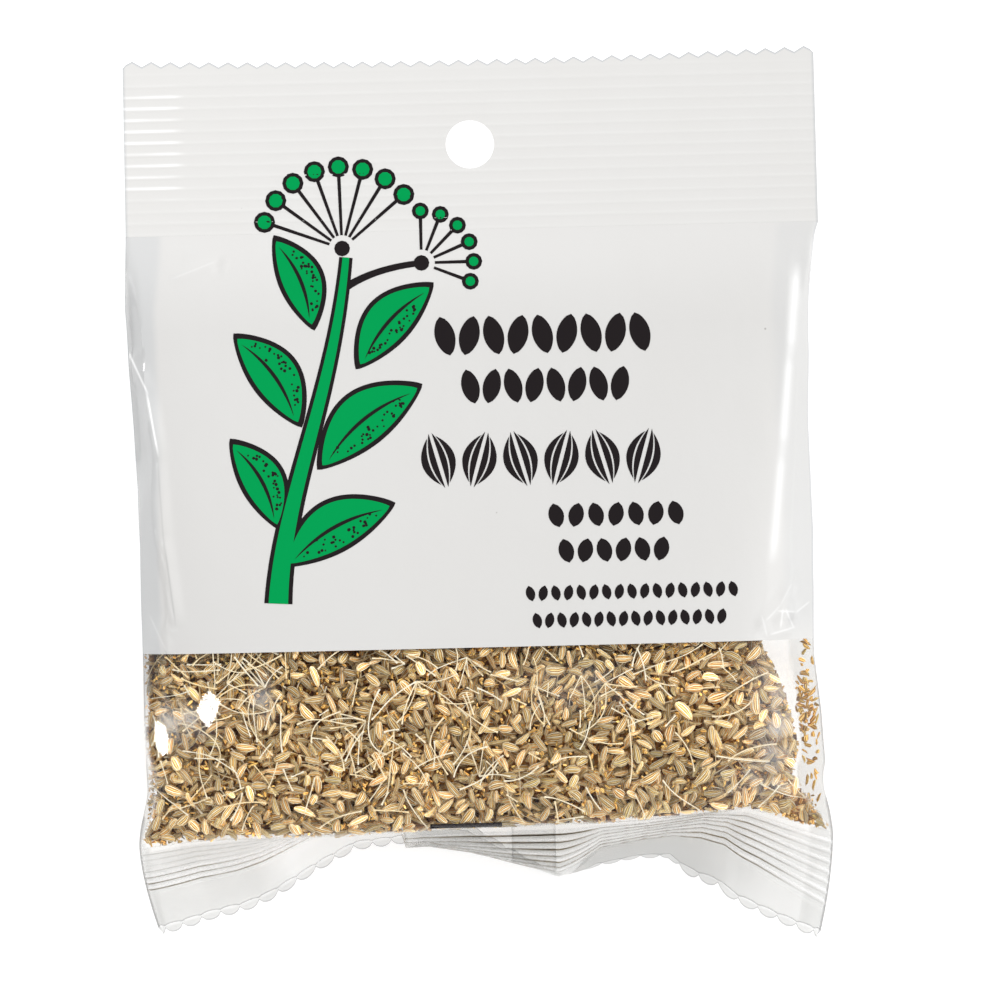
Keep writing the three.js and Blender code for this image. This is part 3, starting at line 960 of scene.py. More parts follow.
# painted shade on the cut edge and the side folds, and over the left facet and the right strip
painted_edge_shade = np.zeros(along.shape)
painted_edge_shade[0] = 1
painted_edge_shade[:, [0, COLUMNS]] = 0.8
left_facet_shade = 0.45 * fall(flat_x, -50.5, 1.5) * rise(along, 20, 10)
right_strip_shade = 0.2 * rise(flat_x, 49.5, 2) * rise(along, 32, 4)
painted_edge_shade = np.maximum(painted_edge_shade, left_facet_shade + right_strip_shade)
tube_grid = {
    "rest": tube,
    "out": tube_out,
    "flat": rib_flat,
    "weld": ribbed_share * np.sign(side),
    "slack": (0.5 + 0.8 * near_fold) * rise(along, 0, 6) * fall(along, POUCH_LENGTH, 3) * (1 - flattened),
    "marks": np.stack([rib_shade_lines * ribbed_share, rib_highlight_lines * ribbed_share, painted_edge_shade], 2),
    # the painted reflection veils, plus a faint even haze above the seal and by the side folds
    "haze": painted_veil_at(tube) + 0.02 * fall(along, 3, 3) * rise(along, -1.2, 1.2) + 0.015 * near_fold,
    "grey": np.maximum(fin_grey + 0.58 * alone, 0.8 * strip_share * (side > 0)),
}


def cut_grid(grid, first, last):
    return {key: values[first : last + 1] for key, values in grid.items()}


window_film = film_shell("clear_film", cut_grid(tube_grid, 0, print_row), FILM, True, clear_film)
pouch_film = film_shell("printed_film", cut_grid(tube_grid, print_row, last_row), FILM, True, printed_white)
hand_over(window_film)
hand_over(pouch_film)

# %% [markdown]
# ## The header
#
# Above the top seal line the two sheets are welded over their whole height into one flat tag, cut
# with pointed teeth and punched for a peg. It is a flat shell with the same ribs. Only its last rows
# follow the teeth, so that the ribs stay straight. The hole is cut by a Boolean, because a round hole
# in a grid of squares would come out ragged.

# %% Header
HEADER_ROWS = 104
HOLE_DIAMETER = 8
HOLE_BELOW_EDGE = 14.1
valley = np.abs(2 * (np.arange(COLUMNS + 1) % TOOTH_COLUMNS) / TOOTH_COLUMNS - 1)
header_sides = np.linspace(-1, 1, COLUMNS + 1)
header_length = HEADER_HEIGHT + EDGE_BOW * header_sides**2 - TOOTH_DEPTH * valley
header_length[[0, -1]] -= 0.3  # the corners are cut a little shorter
straight = HEADER_HEIGHT - TOOTH_DEPTH - 1
share = np.linspace(0, 1, HEADER_ROWS + 1)[:, None]
distance = share * straight + rise(share, 0.94, 0.06) * (header_length - straight)
header_x = np.broadcast_to(HALF_WIDTH * header_sides, distance.shape)
header_y = top_seal_y + distance * math.cos(slope)
header = np.stack([header_x + middle_x, header_y, HEADER_LIFT + distance * math.sin(slope)], 2)
# painted highlights: the rib lines at the left of the header are painted stronger, where the ribs catch the
# lamps
streaks = fall(header_x, -46.5, 3) * fall(distance, 25.5, 2) * rise(distance, 5, 4)
# painted shade along the cut edges
painted_edge_shade = np.zeros(distance.shape)
painted_edge_shade[-1] = 1
painted_edge_shade[:, [0, -1]] = 0.7
header_grid = {
    "rest": header,
    "out": grid_normals(header, closed=False),
    "flat": np.stack([header_x, POUCH_LENGTH + distance, np.ones_like(distance)], 2),
    "weld": 0.38 * rise(distance, 0, 1.2) * fall(distance, 26, 0.8),
    "slack": 0.5 * rise(distance, 0, 8) * fall(distance, HEADER_HEIGHT, 4),
    "marks": np.stack([0.12 + 0.3 * streaks, 0.06 + streaks, painted_edge_shade], 2),
    "haze": np.zeros(distance.shape),
    "grey": np.zeros(distance.shape),
}
header_piece = film_shell("header", header_grid, WELD, False, header_white, HEADER_RIB_PITCH)


def cut_hole(piece, middle, diameter, steps=48):
    """Punches a round hole straight down through a piece."""
    turn = np.linspace(0, 2 * np.pi, steps, endpoint=False)
    circle = np.stack([np.cos(turn), np.sin(turn)], 1) * diameter / 2 + middle[:2]
    points = [(x, y, middle[2] + dz) for dz in (-4, 4) for x, y in circle]
    walls = [[i, (i + 1) % steps, (i + 1) % steps + steps, i + steps] for i in range(steps)]
    caps = [list(range(steps))[::-1], list(range(steps, 2 * steps))]
    punch = make_object("punch", points, walls + caps)
    modifier = piece.modifiers.new("punch", "BOOLEAN")
    modifier.object = punch
    modifier.operation = "DIFFERENCE"
    modifier.solver = "EXACT"
    make_plain(piece)
    bpy.data.objects.remove(punch)


hole_run = HEADER_HEIGHT - HOLE_BELOW_EDGE
hole_middle = (middle_x, top_seal_y + hole_run * math.cos(slope), HEADER_LIFT + hole_run * math.sin(slope))
cut_hole(header_piece, np.array(hole_middle), HOLE_DIAMETER)
smooth(header_piece)
hand_over(header_piece)

# %% [markdown]
# ## The space inside the film
#
# The seed fills the bag up to its film, so the next steps need the inner face of the film as a
# height for each place. Rays shot straight down find the front sheet, and rays shot up find the
# back sheet. The two height maps are the sky and the ground that the seed is packed between. They
# reach a little past the print line, so that no seed row ends in view. Past the right crease the film
# stands clear of the seed, and that corner stays empty down to the last millimetres above the seal.

# %% Height maps of the inner faces
CELL = 0.25
PAST_PRINT = 4.5  # how far the maps reach past the print line
RAY_START = 0.1  # metres above or below the bag
FILM_GAP = 0.03  # least gap between film and seed
STEEPEST = 0.25  # least upward share of a face's direction that counts
map_x = np.arange(-HALF_WIDTH, HALF_WIDTH + 0.01, CELL)
map_y = np.arange(bottom_seal_y + 0.2, print_line_y + PAST_PRINT, CELL)


def shoot(tree, x, y, direction=1):
    """What a ray straight down onto the bag meets first, or one straight up where direction is -1."""
    return tree.ray_cast(Vector((x * MM, y * MM, direction * RAY_START)), Vector((0, 0, -direction)))


def outer_rows(piece, first, last):
    """The finished outer points of a tube of film, row by row, in metres."""
    return vertex_places(piece).reshape(2, -1, RING, 3)[0][first:last]


pouch = np.concatenate([outer_rows(window_film, FIN_ROWS, print_row), outer_rows(pouch_film, 0, None)])
index = np.arange(len(pouch) * RING).reshape(-1, RING)
pouch_faces = grid_quads(index, np.roll(index, -1, 1))
pouch_tree = BVHTree.FromPolygons(pouch.reshape(-1, 3).tolist(), pouch_faces.tolist())


def inner_heights(direction):
    """Height of the inner face that a ray along Z meets first, or nan where there is none."""
    heights = np.full((len(map_y), len(map_x)), np.nan)
    for row, y in enumerate(map_y):
        for column, x in enumerate(map_x):
            spot, normal, _, _ = shoot(pouch_tree, x, y, direction)
            if spot is not None:
                thick = (FILM + FILM_GAP) / max(STEEPEST, abs(normal.z))
                heights[row, column] = spot.z / MM - direction * thick
    return heights


front_film = inner_heights(1)
back_film = inner_heights(-1)
SEED_LIMIT = [  # share of the pouch length, and how far right the seed lies there
    (0, 57), (0.03, 56.6), (0.06, 53.6), (0.1, 51), (0.125, 51.6), (0.14, 52.2), (0.206, 51),
    (0.244, 50.1), (0.275, 48.7), (0.316, 46.9), (0.37, 45.5),
]
map_u = (map_y - bottom_seal_y) / POUCH_LENGTH
seed_limit = np.interp(map_u, *zip(*SEED_LIMIT)) - np.array([sway_at(u) for u in map_u]) + middle_x
strip_start = np.array([crease_x(2, u) for u in map_u]) + middle_x + 0.15
room = np.isfinite(front_film) & np.isfinite(back_film) & (front_film - back_film > 0.3)
in_body = room & (map_x[None] < seed_limit[:, None])
in_strip = room & (map_x[None] > strip_start[:, None])
sky, ground = (np.where(in_body, film, np.nan) for film in (front_film, back_film))
lid, base = sky.copy(), ground.copy()
strip_sky, strip_ground = (np.where(in_strip, film, np.nan) for film in (front_film, back_film))
print(f"inside height up to {np.nanmax(sky - ground):.1f} mm, {time.time() - started:.0f} s")

# %% [markdown]
# ## Packing the seed
#
# Loose seed could be dropped with a physics simulation, but thousands of seeds take minutes. Here
# the bag is packed from the film inward instead, as if it stood on its face: each seed is tried at a
# few random places, leans with whatever it meets, and goes where it comes nearest to the film. Its
# own underside then becomes the new surface for the next one. The same routine packs the back, with
# the heights turned over.


# %% Packing
def footprint(x, y, reach):
    """The part of the maps within reach of a place, with the cells' offsets from it."""
    column = slice(max(0, int((x - reach - map_x[0]) / CELL)), int((x + reach - map_x[0]) / CELL) + 2)
    row = slice(max(0, int((y - reach - map_y[0]) / CELL)), int((y + reach - map_y[0]) / CELL) + 2)
    return row, column, map_x[None, column] - x, map_y[row, None] - y


def try_seed(surface, limit, film, x, y, turn, size, lean):
    """Where a seed of that size rests against the surface, or None where it has no room."""
    a, b, c = size / 2
    row, column, dx, dy = footprint(x, y, a)
    along, aside = dx * math.cos(turn) + dy * math.sin(turn), dy * math.cos(turn) - dx * math.sin(turn)
    reach = (along / a) ** 2 + (aside / b) ** 2
    under = reach < 1
    heights = surface[row, column][under]
    if len(heights) < 4 or not np.isfinite(heights).all():
        return None
    along, aside = along[under], aside[under]
    tilt_along = np.clip((along * heights).sum() / (along**2).sum(), -0.9, 0.9) + lean[0]
    tilt_aside = np.clip((aside * heights).sum() / (aside**2).sum(), -0.9, 0.9) + lean[1]
    plane = tilt_along * along + tilt_aside * aside
    dome = c * np.sqrt(1 - reach[under])
    height = (heights - plane - dome).min() - 0.02
    underside = height + plane - dome
    if (underside < limit[row, column][under]).any():
        return None
    depth = film[row, column][under].mean() - height
    return depth, height, tilt_along, tilt_aside, (row, column, under, underside)


def pack_seeds(surface, limit, film, count, tries, draw, area, rng):
    """Packs seeds against a surface, which it lowers as it goes. Rows: x, y, z, turn, two tilts, size."""
    placed = []
    x0, x1, y0, y1 = area
    for _ in range(count):
        size = draw(rng)
        best = None
        for _ in range(tries):
            x, y, turn = rng.uniform(x0, x1), rng.uniform(y0, y1), rng.uniform(0, np.pi)
            found = try_seed(surface, limit, film, x, y, turn, size, rng.normal(0, 0.2, 2))
            if found and (best is None or found[0] < best[0][0]):
                best = found, x, y, turn
        if best is None:
            continue
        (_, height, tilt_along, tilt_aside, (row, column, under, underside)), x, y, turn = best
        patch = surface[row, column]
        patch[under] = np.minimum(patch[under], underside)
        placed.append((x, y, height, turn, tilt_along, tilt_aside, *size))
    return np.array(placed).reshape(-1, 9)


# %% [markdown]
# A kind of seed is drawn at random round its usual length, width and thickness. Whole seeds are the
# plumpest, split halves are flatter and more uneven, and crumbs are bits of husk and leaf.


# %% Sizes of the kinds
def draws(length, width, flatness):
    """A function that draws sizes. Each argument is a mean and a spread, or for flatness two ends."""

    def draw(rng):
        long = np.clip(rng.normal(*length), length[0] - 2 * length[1], length[0] + 2.5 * length[1])
        wide = np.clip(rng.normal(*width), width[0] - 2 * width[1], width[0] + 2 * width[1])
        return np.array([long, wide, wide * rng.uniform(*flatness)])

    return draw


whole_size = draws((3.1, 0.5), (1.35, 0.26), (0.75, 0.95))
half_size = draws((3.1, 0.7), (1.0, 0.24), (0.5, 0.75))
crumb_size = draws((1.0, 0.38), (0.5, 0.17), (0.3, 0.8))
bit_size = draws((1.7, 0.5), (0.8, 0.2), (0.3, 0.6))

# %% [markdown]
# ## Stalks
#
# Anise is threshed from its umbels, so thin stalks run through it, single or still joined in little
# sprays. They lie along the film, on top of the seed. Each is a short walk with a slowly turning
# heading, a little below the film, and it leaves its own dent in the surface for the seed to pass
# under.


# %% Walks along the film
def trace_stalk(surface, x, y, heading, length, thick, rng):
    """A path that creeps along the surface, or None where it leaves the bag."""
    steps = max(5, int(length / 0.6))
    bend = rng.normal(0, 0.04)
    path = []
    for _ in range(steps):
        column, row = round((x - map_x[0]) / CELL), round((y - map_y[0]) / CELL)
        if not (1 <= row < len(map_y) - 1 and 1 <= column < len(map_x) - 1):
            return None
        height = surface[row - 1 : row + 2, column - 1 : column + 2].min()
        if not np.isfinite(height):
            return None
        path.append((x, y, height - thick - 0.02, row, column))
        x += math.cos(heading) * length / steps
        y += math.sin(heading) * length / steps
        bend += rng.normal(0, 0.016)
        heading += bend
    path = np.array(path)
    low = np.array([path[max(0, i - 1) : i + 2, 2].min() for i in range(steps)])
    path[:, 2] = np.convolve(np.pad(low, 1, mode="edge"), [0.25, 0.5, 0.25], "valid")
    for _, _, height, row, column in path:
        row, column = int(row), int(column)
        patch = surface[row - 1 : row + 2, column - 1 : column + 2]
        np.minimum(patch, height - thick, out=patch)
    return path[:, :3]


def lay_stalks(surface, singles, sprays, flip):
    """Single stalks and sprays of three to six that share one end. Flip turns the heights back over."""
    laid = []
    x0, x1, y0, y1 = AREAS["fill"]
    jobs = [1] * singles + [int(rng.integers(3, 7)) for _ in range(sprays)]
    for rays in jobs:
        x, y, heading = rng.uniform(x0, x1), rng.uniform(y0, y1), rng.uniform(0, 2 * np.pi)
        for ray in range(rays):
            length = np.clip(rng.gamma(5, 1.2), 2.2, 13)
            turn = heading if rays == 1 else heading + (ray - rays / 2) * rng.uniform(0.35, 0.75)
            thick = rng.uniform(0.1, 0.15)
            path = trace_stalk(surface, x, y, turn, length, thick, rng)
            if path is not None and len(path) > 4:
                path[:, 2] *= flip
                laid.append((path, thick, rng.normal(0, 1)))
    return laid


# %% [markdown]
# ## Fill the bag
#
# The order is stalks, whole seeds, half seeds and crumbs, and then more of each below them. The front
# gets the most, as it shows through the window, and the back enough to look full from below. The
# flat strip by the right fold holds only bits and a few halves that have slipped between the two
# sheets. Each line of a table is one round: a kind, how many, how often each is tried, and where.

# %% Pack front, back and strip
PACKING_SEED = 17
AREAS = {  # lowest and highest x, lowest and highest y
    "fill": (-55, 56.5, bottom_seal_y + 0.6, print_line_y + 3.5),
    "left": (-57, -49, bottom_seal_y + 1, print_line_y + 3),
    "low": (-56, 56.5, bottom_seal_y + 0.6, bottom_seal_y + 6),
    "strip": (50, 56, bottom_seal_y + 2, print_line_y),
    "cluster": (51, 55, bottom_seal_y + 17, bottom_seal_y + 25),
}
SIZES = {"whole": whole_size, "half": half_size, "crumb": crumb_size, "bit": bit_size}
NEAR_ROUNDS = [("whole", 430, 14, "fill"), ("half", 560, 14, "fill"), ("crumb", 1500, 8, "fill")]
DEEP_ROUNDS = [("whole", 560, 9, "fill"), ("half", 720, 9, "fill"), ("half", 130, 8, "left"),
               ("half", 230, 8, "low")]
BACK_ROUNDS = [("whole", 560, 6, "fill"), ("half", 330, 6, "fill")]
GAP_ROUNDS = [("crumb", 3000, 6, "fill"), ("crumb", 700, 5, "left"), ("crumb", 700, 5, "low")]
STRIP_ROUNDS = [("bit", 60, 8, "strip"), ("bit", 150, 8, "cluster"), ("half", 24, 16, "cluster")]
rng = np.random.default_rng(PACKING_SEED)


def pack_rounds(packed, rounds, surface, limit, film):
    """Packs round after round and adds what it packs to its kind. Bits count as crumbs."""
    for kind, count, tries, area in rounds:
        seeds = pack_seeds(surface, limit, film, count, tries, SIZES[kind], AREAS[area], rng)
        kind = "crumb" if kind == "bit" else kind
        packed[kind] = np.concatenate([packed[kind], seeds])


front, back = ({kind: np.empty((0, 9)) for kind in ("whole", "half", "crumb")} for _ in range(2))
front_stalks = lay_stalks(sky, singles=210, sprays=20, flip=1)
under_film = sky.copy()
pack_rounds(front, NEAR_ROUNDS, sky, ground, under_film)
front_stalks += lay_stalks(sky, singles=160, sprays=16, flip=1)
pack_rounds(front, DEEP_ROUNDS, sky, ground, under_film)

turned_sky, turned_ground = -ground, -sky
back_stalks = lay_stalks(turned_sky, singles=60, sprays=8, flip=-1)
over_back = turned_sky.copy()
pack_rounds(back, BACK_ROUNDS, turned_sky, turned_ground, over_back)
ground = -turned_sky
pack_rounds(front, GAP_ROUNDS, sky, ground, under_film)
pack_rounds(back, [("crumb", 300, 3, "fill")], -ground, -sky, over_back)
for strip_round in STRIP_ROUNDS:
    pack_rounds(front, [strip_round], strip_sky, strip_ground, strip_sky.copy())
for place, stalks, packed in (("front", front_stalks, front), ("back", back_stalks, back)):
    numbers = {kind: len(seeds) for kind, seeds in packed.items()}
    print(f"{place}: {len(stalks)} stalks, {numbers}, {time.time() - started:.0f} s")

# %% [markdown]
# ## Seeds as instances
#
# A seed is drawn once and placed many times. Its body is blunt at the base and pointed at the tip,
# with twelve sides, of which every other one stands out as a rib. Its UV map runs once round it and
# from base to tip, which the finish needs for the ribs. A half seed is the same body with a flat
# face. The Geometry Nodes tree puts one of the shapes on each point, turned and scaled by the
# point's attributes, and makes the copies real. Tone and hue travel with each copy, so that no two
# seeds look alike.


# %% Seed shapes
def seed_shape(name, sides, stations, rib_depth, curve, flat_face):
    """A ribbed body of unit length, width and thickness, with a UV map."""
    points, faces, face_uvs = [(-0.5, curve * 0.25, 0)], [], []
    for station in stations:
        radius = 0.5 * math.sin(math.pi * station**0.72) ** 0.6
        for k in range(sides):
            angle = 2 * math.pi * k / sides
            reach = radius * (1 - rib_depth * (k % 2))
            across, up = reach * math.cos(angle), reach * math.sin(angle)
            if flat_face and up < 0:
                up *= 0.25
            points.append((station - 0.5, across + curve * (station - 0.5) ** 2, up))
    points.append((0.5, curve * 0.25, 0))
    last_ring = 1 + (len(stations) - 1) * sides
    for k in range(sides):
        following = (k + 1) % sides
        here, beside = k / sides, (k + 1) / sides
        middle = (here + beside) / 2
        faces.append((0, 1 + following, 1 + k))
        face_uvs += [(middle, 0), (beside, stations[0]), (here, stations[0])]
        for ring, (low, high) in enumerate(zip(stations, stations[1:])):
            a, b = 1 + ring * sides + k, 1 + ring * sides + following
            faces.append((a, b, b + sides, a + sides))
            face_uvs += [(here, low), (beside, low), (beside, high), (here, high)]
        faces.append((last_ring + k, last_ring + following, len(points) - 1))
        face_uvs += [(here, stations[-1]), (beside, stations[-1]), (middle, 1)]
    mesh = bpy.data.meshes.new(name)
    mesh.from_pydata(points, [], faces)
    mesh.uv_layers.new(name="ribs").data.foreach_set("uv", np.array(face_uvs).ravel())
    mesh.shade_smooth()
    return bpy.data.objects.new(name, mesh)


def shape_set(name, sides, stations, rib_depth, curves, flat_face):
    """The same body with a few different bends."""
    return [
        seed_shape(f"{name}_{number}", sides, stations, rib_depth, curve, flat_face)
        for number, curve in enumerate(curves)
    ]


SEED_STATIONS = (0.05, 0.25, 0.55, 0.85)
whole_shapes = shape_set("whole", 12, SEED_STATIONS, 0.24, (0.2, 0.5, -0.9), False)
half_shapes = shape_set("half", 12, SEED_STATIONS, 0.24, (0.5, -1.2, 1.8), True)
crumb_shapes = shape_set("crumb", 5, (0.2, 0.7), 0.3, (0, 1, -1.4), False)

# %% Geometry Nodes: one shape on each point
scatter, given, result = geometry_tree("scatter shapes", [("Shapes", "Collection", None)])
chosen = {"Collection": given["Shapes"], "Separate Children": True}
placing = {
    "Points": given["Geometry"],
    "Instance": add_node(scatter, "GeometryNodeCollectionInfo", chosen).outputs[0],
    "Pick Instance": True,
    "Instance Index": read_attribute(scatter, "variant", "INT"),
    "Rotation": read_attribute(scatter, "turn", "FLOAT_VECTOR"),
    "Scale": read_attribute(scatter, "size", "FLOAT_VECTOR"),
}
placed = add_node(scatter, "GeometryNodeInstanceOnPoints", placing)
finish_tree(scatter, placed.outputs[0], given, result)


def turns_of(items, flip, over_share, rng):
    """Euler angles that lay each item along its tilts, with a share of them turned over."""
    turns = []
    for _, _, _, turn, tilt_along, tilt_aside, *_ in items:
        ahead = Vector((math.cos(turn), math.sin(turn), tilt_along * flip)).normalized()
        aside = Vector((-math.sin(turn), math.cos(turn), tilt_aside * flip))
        up = ahead.cross(aside).normalized() * flip
        if rng.random() < over_share:
            up = -up
        basis = Matrix((ahead, up.cross(ahead), up)).transposed()
        if rng.random() < 0.5:
            basis = basis @ Matrix.Rotation(math.pi, 3, "Z")
        turns.append(basis.to_euler())
    return np.array(turns).reshape(-1, 3)


def scatter_piece(name, front, back, shape_objects, material, over_share, rng):
    """One mesh of all items of a kind, front and back."""
    items = np.concatenate([front, back])
    items[len(front) :, 2] *= -1
    attributes = {
        "turn": np.concatenate([turns_of(front, 1, over_share, rng), turns_of(back, -1, over_share, rng)]),
        "size": items[:, 6:9] * MM,
        "tone": rng.normal(0, 1, len(items)),
        "hue": rng.random(len(items)),
    }
    piece = make_object(name, items[:, :3], [], attributes)
    variants = piece.data.attributes.new("variant", "INT", "POINT")
    variants.data.foreach_set("value", rng.integers(0, len(shape_objects), len(items)))
    collection = bpy.data.collections.new(name)
    for shape in shape_objects:
        collection.objects.link(shape)
    bpy.context.scene.collection.children.link(collection)
    run_tree(piece, scatter, {"Shapes": collection, "Material": material}, ("turn", "size", "variant"))
    for shape in shape_objects:
        bpy.data.objects.remove(shape)
    bpy.data.collections.remove(collection)
    hand_over(piece)


# %% [markdown]
# ## The finish of seed, stalk and crumb
#
# Dry anise is golden to warm brown between pale ribs that run together at both ends. The group
# reads the UV map for the ribs: the strong ones stand on the body's own ribs, and finer ones lie
# between. Hue picks one of several browns for each seed, tone makes it lighter or darker, and noise
# adds stains that are the same size on every seed, because it uses the place and not the UV map.

# %% Shader group: ribbed skin
seed_skin, given, result = new_tree(
    "seed skin",
    "ShaderNodeTree",
    [("Ribs", "Float", 6.0), ("Rib Color", "Color", rgba(0.9, 0.75, 0.5)), ("Rib Strength", "Float", 0.9)],
    [("Color", "Color"), ("Height", "Float")],
)
uv_parts = parts_of(seed_skin, add_node(seed_skin, "ShaderNodeUVMap", uv_map="ribs").outputs[0])


def rib_mask(count, offset, width):
    """1 on the ribs, falling to 0 beside them."""
    place = maths(seed_skin, "MULTIPLY_ADD", uv_parts["X"], count, offset)
    away = maths(seed_skin, "PINGPONG", place, 0.5)
    return ramp(seed_skin, away, width * 0.3, width, 1.0, 0.0, interpolation_type="SMOOTHSTEP")


strong = rib_mask(given["Ribs"], 0, 0.26)
between = times(seed_skin, rib_mask(given["Ribs"], 0.5, 0.16), 0.35)
to_end = maths(seed_skin, "PINGPONG", uv_parts["Y"], 0.5)
ribs = maths(seed_skin, "MAXIMUM", strong, between)
ribs = maths(seed_skin, "MAXIMUM", ribs, ramp(seed_skin, to_end, 0.01, 0.12, 0.6, 0.0))

BROWNS = [
    (0.0, (0.95, 0.57, 0.12)),
    (0.18, (0.84, 0.49, 0.1)),
    (0.34, (1.0, 0.69, 0.18)),
    (0.5, (0.95, 0.45, 0.06)),
    (0.66, (0.86, 0.52, 0.13)),
    (0.84, (1.0, 0.77, 0.22)),
    (1.0, (0.7, 0.37, 0.06)),
]
hue_ramp = add_node(seed_skin, "ShaderNodeValToRGB", {"Fac": shader_attribute(seed_skin, "hue")})
for number, (where, color) in enumerate(BROWNS):
    stops = hue_ramp.color_ramp.elements
    stop = stops[number] if number < 2 else stops.new(where)
    stop.position = where
    stop.color = rgba(*color)
stain = noise(seed_skin, object_place(seed_skin), 900, 3)
stained = ramp(seed_skin, stain, 0.45, 0.75, 0.0, 0.45)
furrow = mix_colors(seed_skin, stained, hue_ramp.outputs[0], rgba(0.24, 0.1, 0.02))
doubled = times(seed_skin, given["Ribs"], 2)
layers = [
    (rib_mask(doubled, 0.5, 0.32), 0.9, rgba(0.3, 0.1, 0.01)),
    (ribs, given["Rib Strength"], given["Rib Color"]),
]
skin_color = lay_over(seed_skin, furrow, layers)
level = maths(seed_skin, "POWER", 1.36, shader_attribute(seed_skin, "tone"))
bright = scaled(seed_skin, skin_color, times(seed_skin, level, 1.2))
seed_skin.links.new(bright, result["Color"])
seed_skin.links.new(maths(seed_skin, "MULTIPLY_ADD", stain, 0.5, ribs), result["Height"])


# %% Seed, stalk, crumb and core materials
def coated_material(name, skin, strength, depth):
    """A dull coat over the colour that skin makes, with its height as bump."""
    material, tree, surface = new_material(name)
    inputs = skin(tree)
    bump = {"Height": inputs.pop("Height"), "Strength": strength, "Distance": depth}
    inputs["Normal"] = add_node(tree, "ShaderNodeBump", bump).outputs[0]
    tree.links.new(principled(tree, inputs), surface)
    return material


def ribbed(ribs, rib_color, rib_strength, roughness):
    """A skin of the ribbed group with these values."""

    def skin(tree):
        values = {"Ribs": ribs, "Rib Color": rgba(*rib_color), "Rib Strength": rib_strength}
        color, height = add_node(tree, "ShaderNodeGroup", values, node_tree=seed_skin).outputs
        return {"Base Color": color, "Height": height, "Roughness": roughness, "Specular IOR Level": 0.15}

    return skin


def straw(tree):
    """Stalks from straw to cream, with faint streaks."""
    share = ramp(tree, shader_attribute(tree, "tone"), -1.8, 1.0)
    color = mix_colors(tree, share, rgba(1.0, 0.8, 0.45), rgba(1.0, 0.94, 0.76))
    streak = noise(tree, object_place(tree), 700)
    color = mix_colors(tree, ramp(tree, streak, 0.5, 0.75, 0.0, 0.4), color, rgba(0.55, 0.37, 0.15))
    return {"Base Color": color, "Height": streak, "Roughness": 0.5, "Specular IOR Level": 0.35}


def painted_shade_core(tree):
    """What shows of the seed below in the gaps: painted dark as its shade, with a few paler bits."""
    grains = noise(tree, object_place(tree), 800, 4)
    color = mix_colors(tree, ramp(tree, grains, 0.4, 0.72), rgba(0.14, 0.045, 0.006), rgba(0.85, 0.44, 0.1))
    return {"Base Color": color, "Height": grains, "Roughness": 0.8}


whole_skin = coated_material("whole_seed", ribbed(6, (1.0, 0.92, 0.66), 1.0, 0.5), 0.8, 0.0002)
half_skin = coated_material("half_seed", ribbed(6, (1.0, 0.9, 0.6), 1.0, 0.55), 0.8, 0.0002)
crumb_skin = coated_material("crumb", ribbed(2, (1.0, 0.8, 0.4), 0.6, 0.8), 0.5, 0.0001)
stalk_skin = coated_material("stalk", straw, 0.3, 0.00005)
# the core is painted dark as the shade of the deeper seed
core_painted_shade = coated_material("seed_core", painted_shade_core, 0.8, 0.0005)

# %% Whole seeds, half seeds and crumbs
KINDS = [  # name, kind, shapes, material, share that lies turned over
    ("whole_seeds", "whole", whole_shapes, whole_skin, 0.5),
    ("half_seeds", "half", half_shapes, half_skin, 0.3),
    ("crumbs", "crumb", crumb_shapes, crumb_skin, 0.5),
]
for name, kind, shapes, skin, over_share in KINDS:
    scatter_piece(name, front[kind], back[kind], shapes, skin, over_share, rng)

# %% [markdown]
# The stalks become tubes by Geometry Nodes, which is how anything that follows a path is made: edges
# to a curve, and a small circle swept along it, scaled by the thickness of each point.

# %% Geometry Nodes: stalks as swept tubes
tubes, given, result = geometry_tree("stalk tubes", [("Sides", "Int", 5)])
paths = add_node(tubes, "GeometryNodeMeshToCurve", {"Mesh": given["Geometry"]})
circle = add_node(tubes, "GeometryNodeCurvePrimitiveCircle", {"Resolution": given["Sides"], "Radius": 1.0})
sweep = {
    "Curve": paths.outputs[0],
    "Profile Curve": circle.outputs[0],
    "Scale": read_attribute(tubes, "thick"),
    "Fill Caps": True,
}
swept = add_node(tubes, "GeometryNodeCurveToMesh", sweep)
finish_tree(tubes, swept.outputs[0], given, result)


def stalk_piece(name, laid):
    """Edge paths with a thickness that swells at both ends, swept into tubes."""
    points, edges, thick, tones = [], [], [], []
    for path, radius, tone in laid:
        first = len(points)
        points += path.tolist()
        edges += [(first + i, first + i + 1) for i in range(len(path) - 1)]
        share = np.linspace(-1, 1, len(path))
        thick += (radius * (0.8 + 0.5 * share**6) * MM).tolist()
        tones += [tone] * len(path)
    piece = make_object(name, points, [], {"thick": thick, "tone": tones}, edges)
    run_tree(piece, tubes, {"Material": stalk_skin}, ("thick",))
    smooth(piece, 60)
    hand_over(piece)


stalk_piece("stalks", front_stalks + back_stalks)

# %% [markdown]
# ## The core
#
# Between the imported layers the bag is full of more seed that nobody sees. A plain solid stands for
# it, a little inside the undersides of the last seeds, and shows only in the gaps, painted dark brown
# as the shade of the deeper seed. Its upper and lower faces are the height maps as the packing left
# them, thinned to a coarser grid.

# %% Core
CORE_STEP = 3
CORE_DEPTH = 0.15
LEAST_CORE = 0.15
core_columns = np.arange(6, len(map_x) - 6, CORE_STEP)
core_rows = np.arange(2, len(map_y) - 2, CORE_STEP)


def thin_map(heights, pick, nothing):
    """The lowest or highest height round each coarse place that is inside the seed."""
    known = np.where(np.isfinite(heights), heights, nothing)
    rows = [known[row - 2 : row + 3] for row in core_rows]
    coarse = np.array([[pick(near[:, column - 2 : column + 3]) for column in core_columns] for near in rows])
    return np.where(np.isfinite(heights[np.ix_(core_rows, core_columns)]), coarse, np.nan)


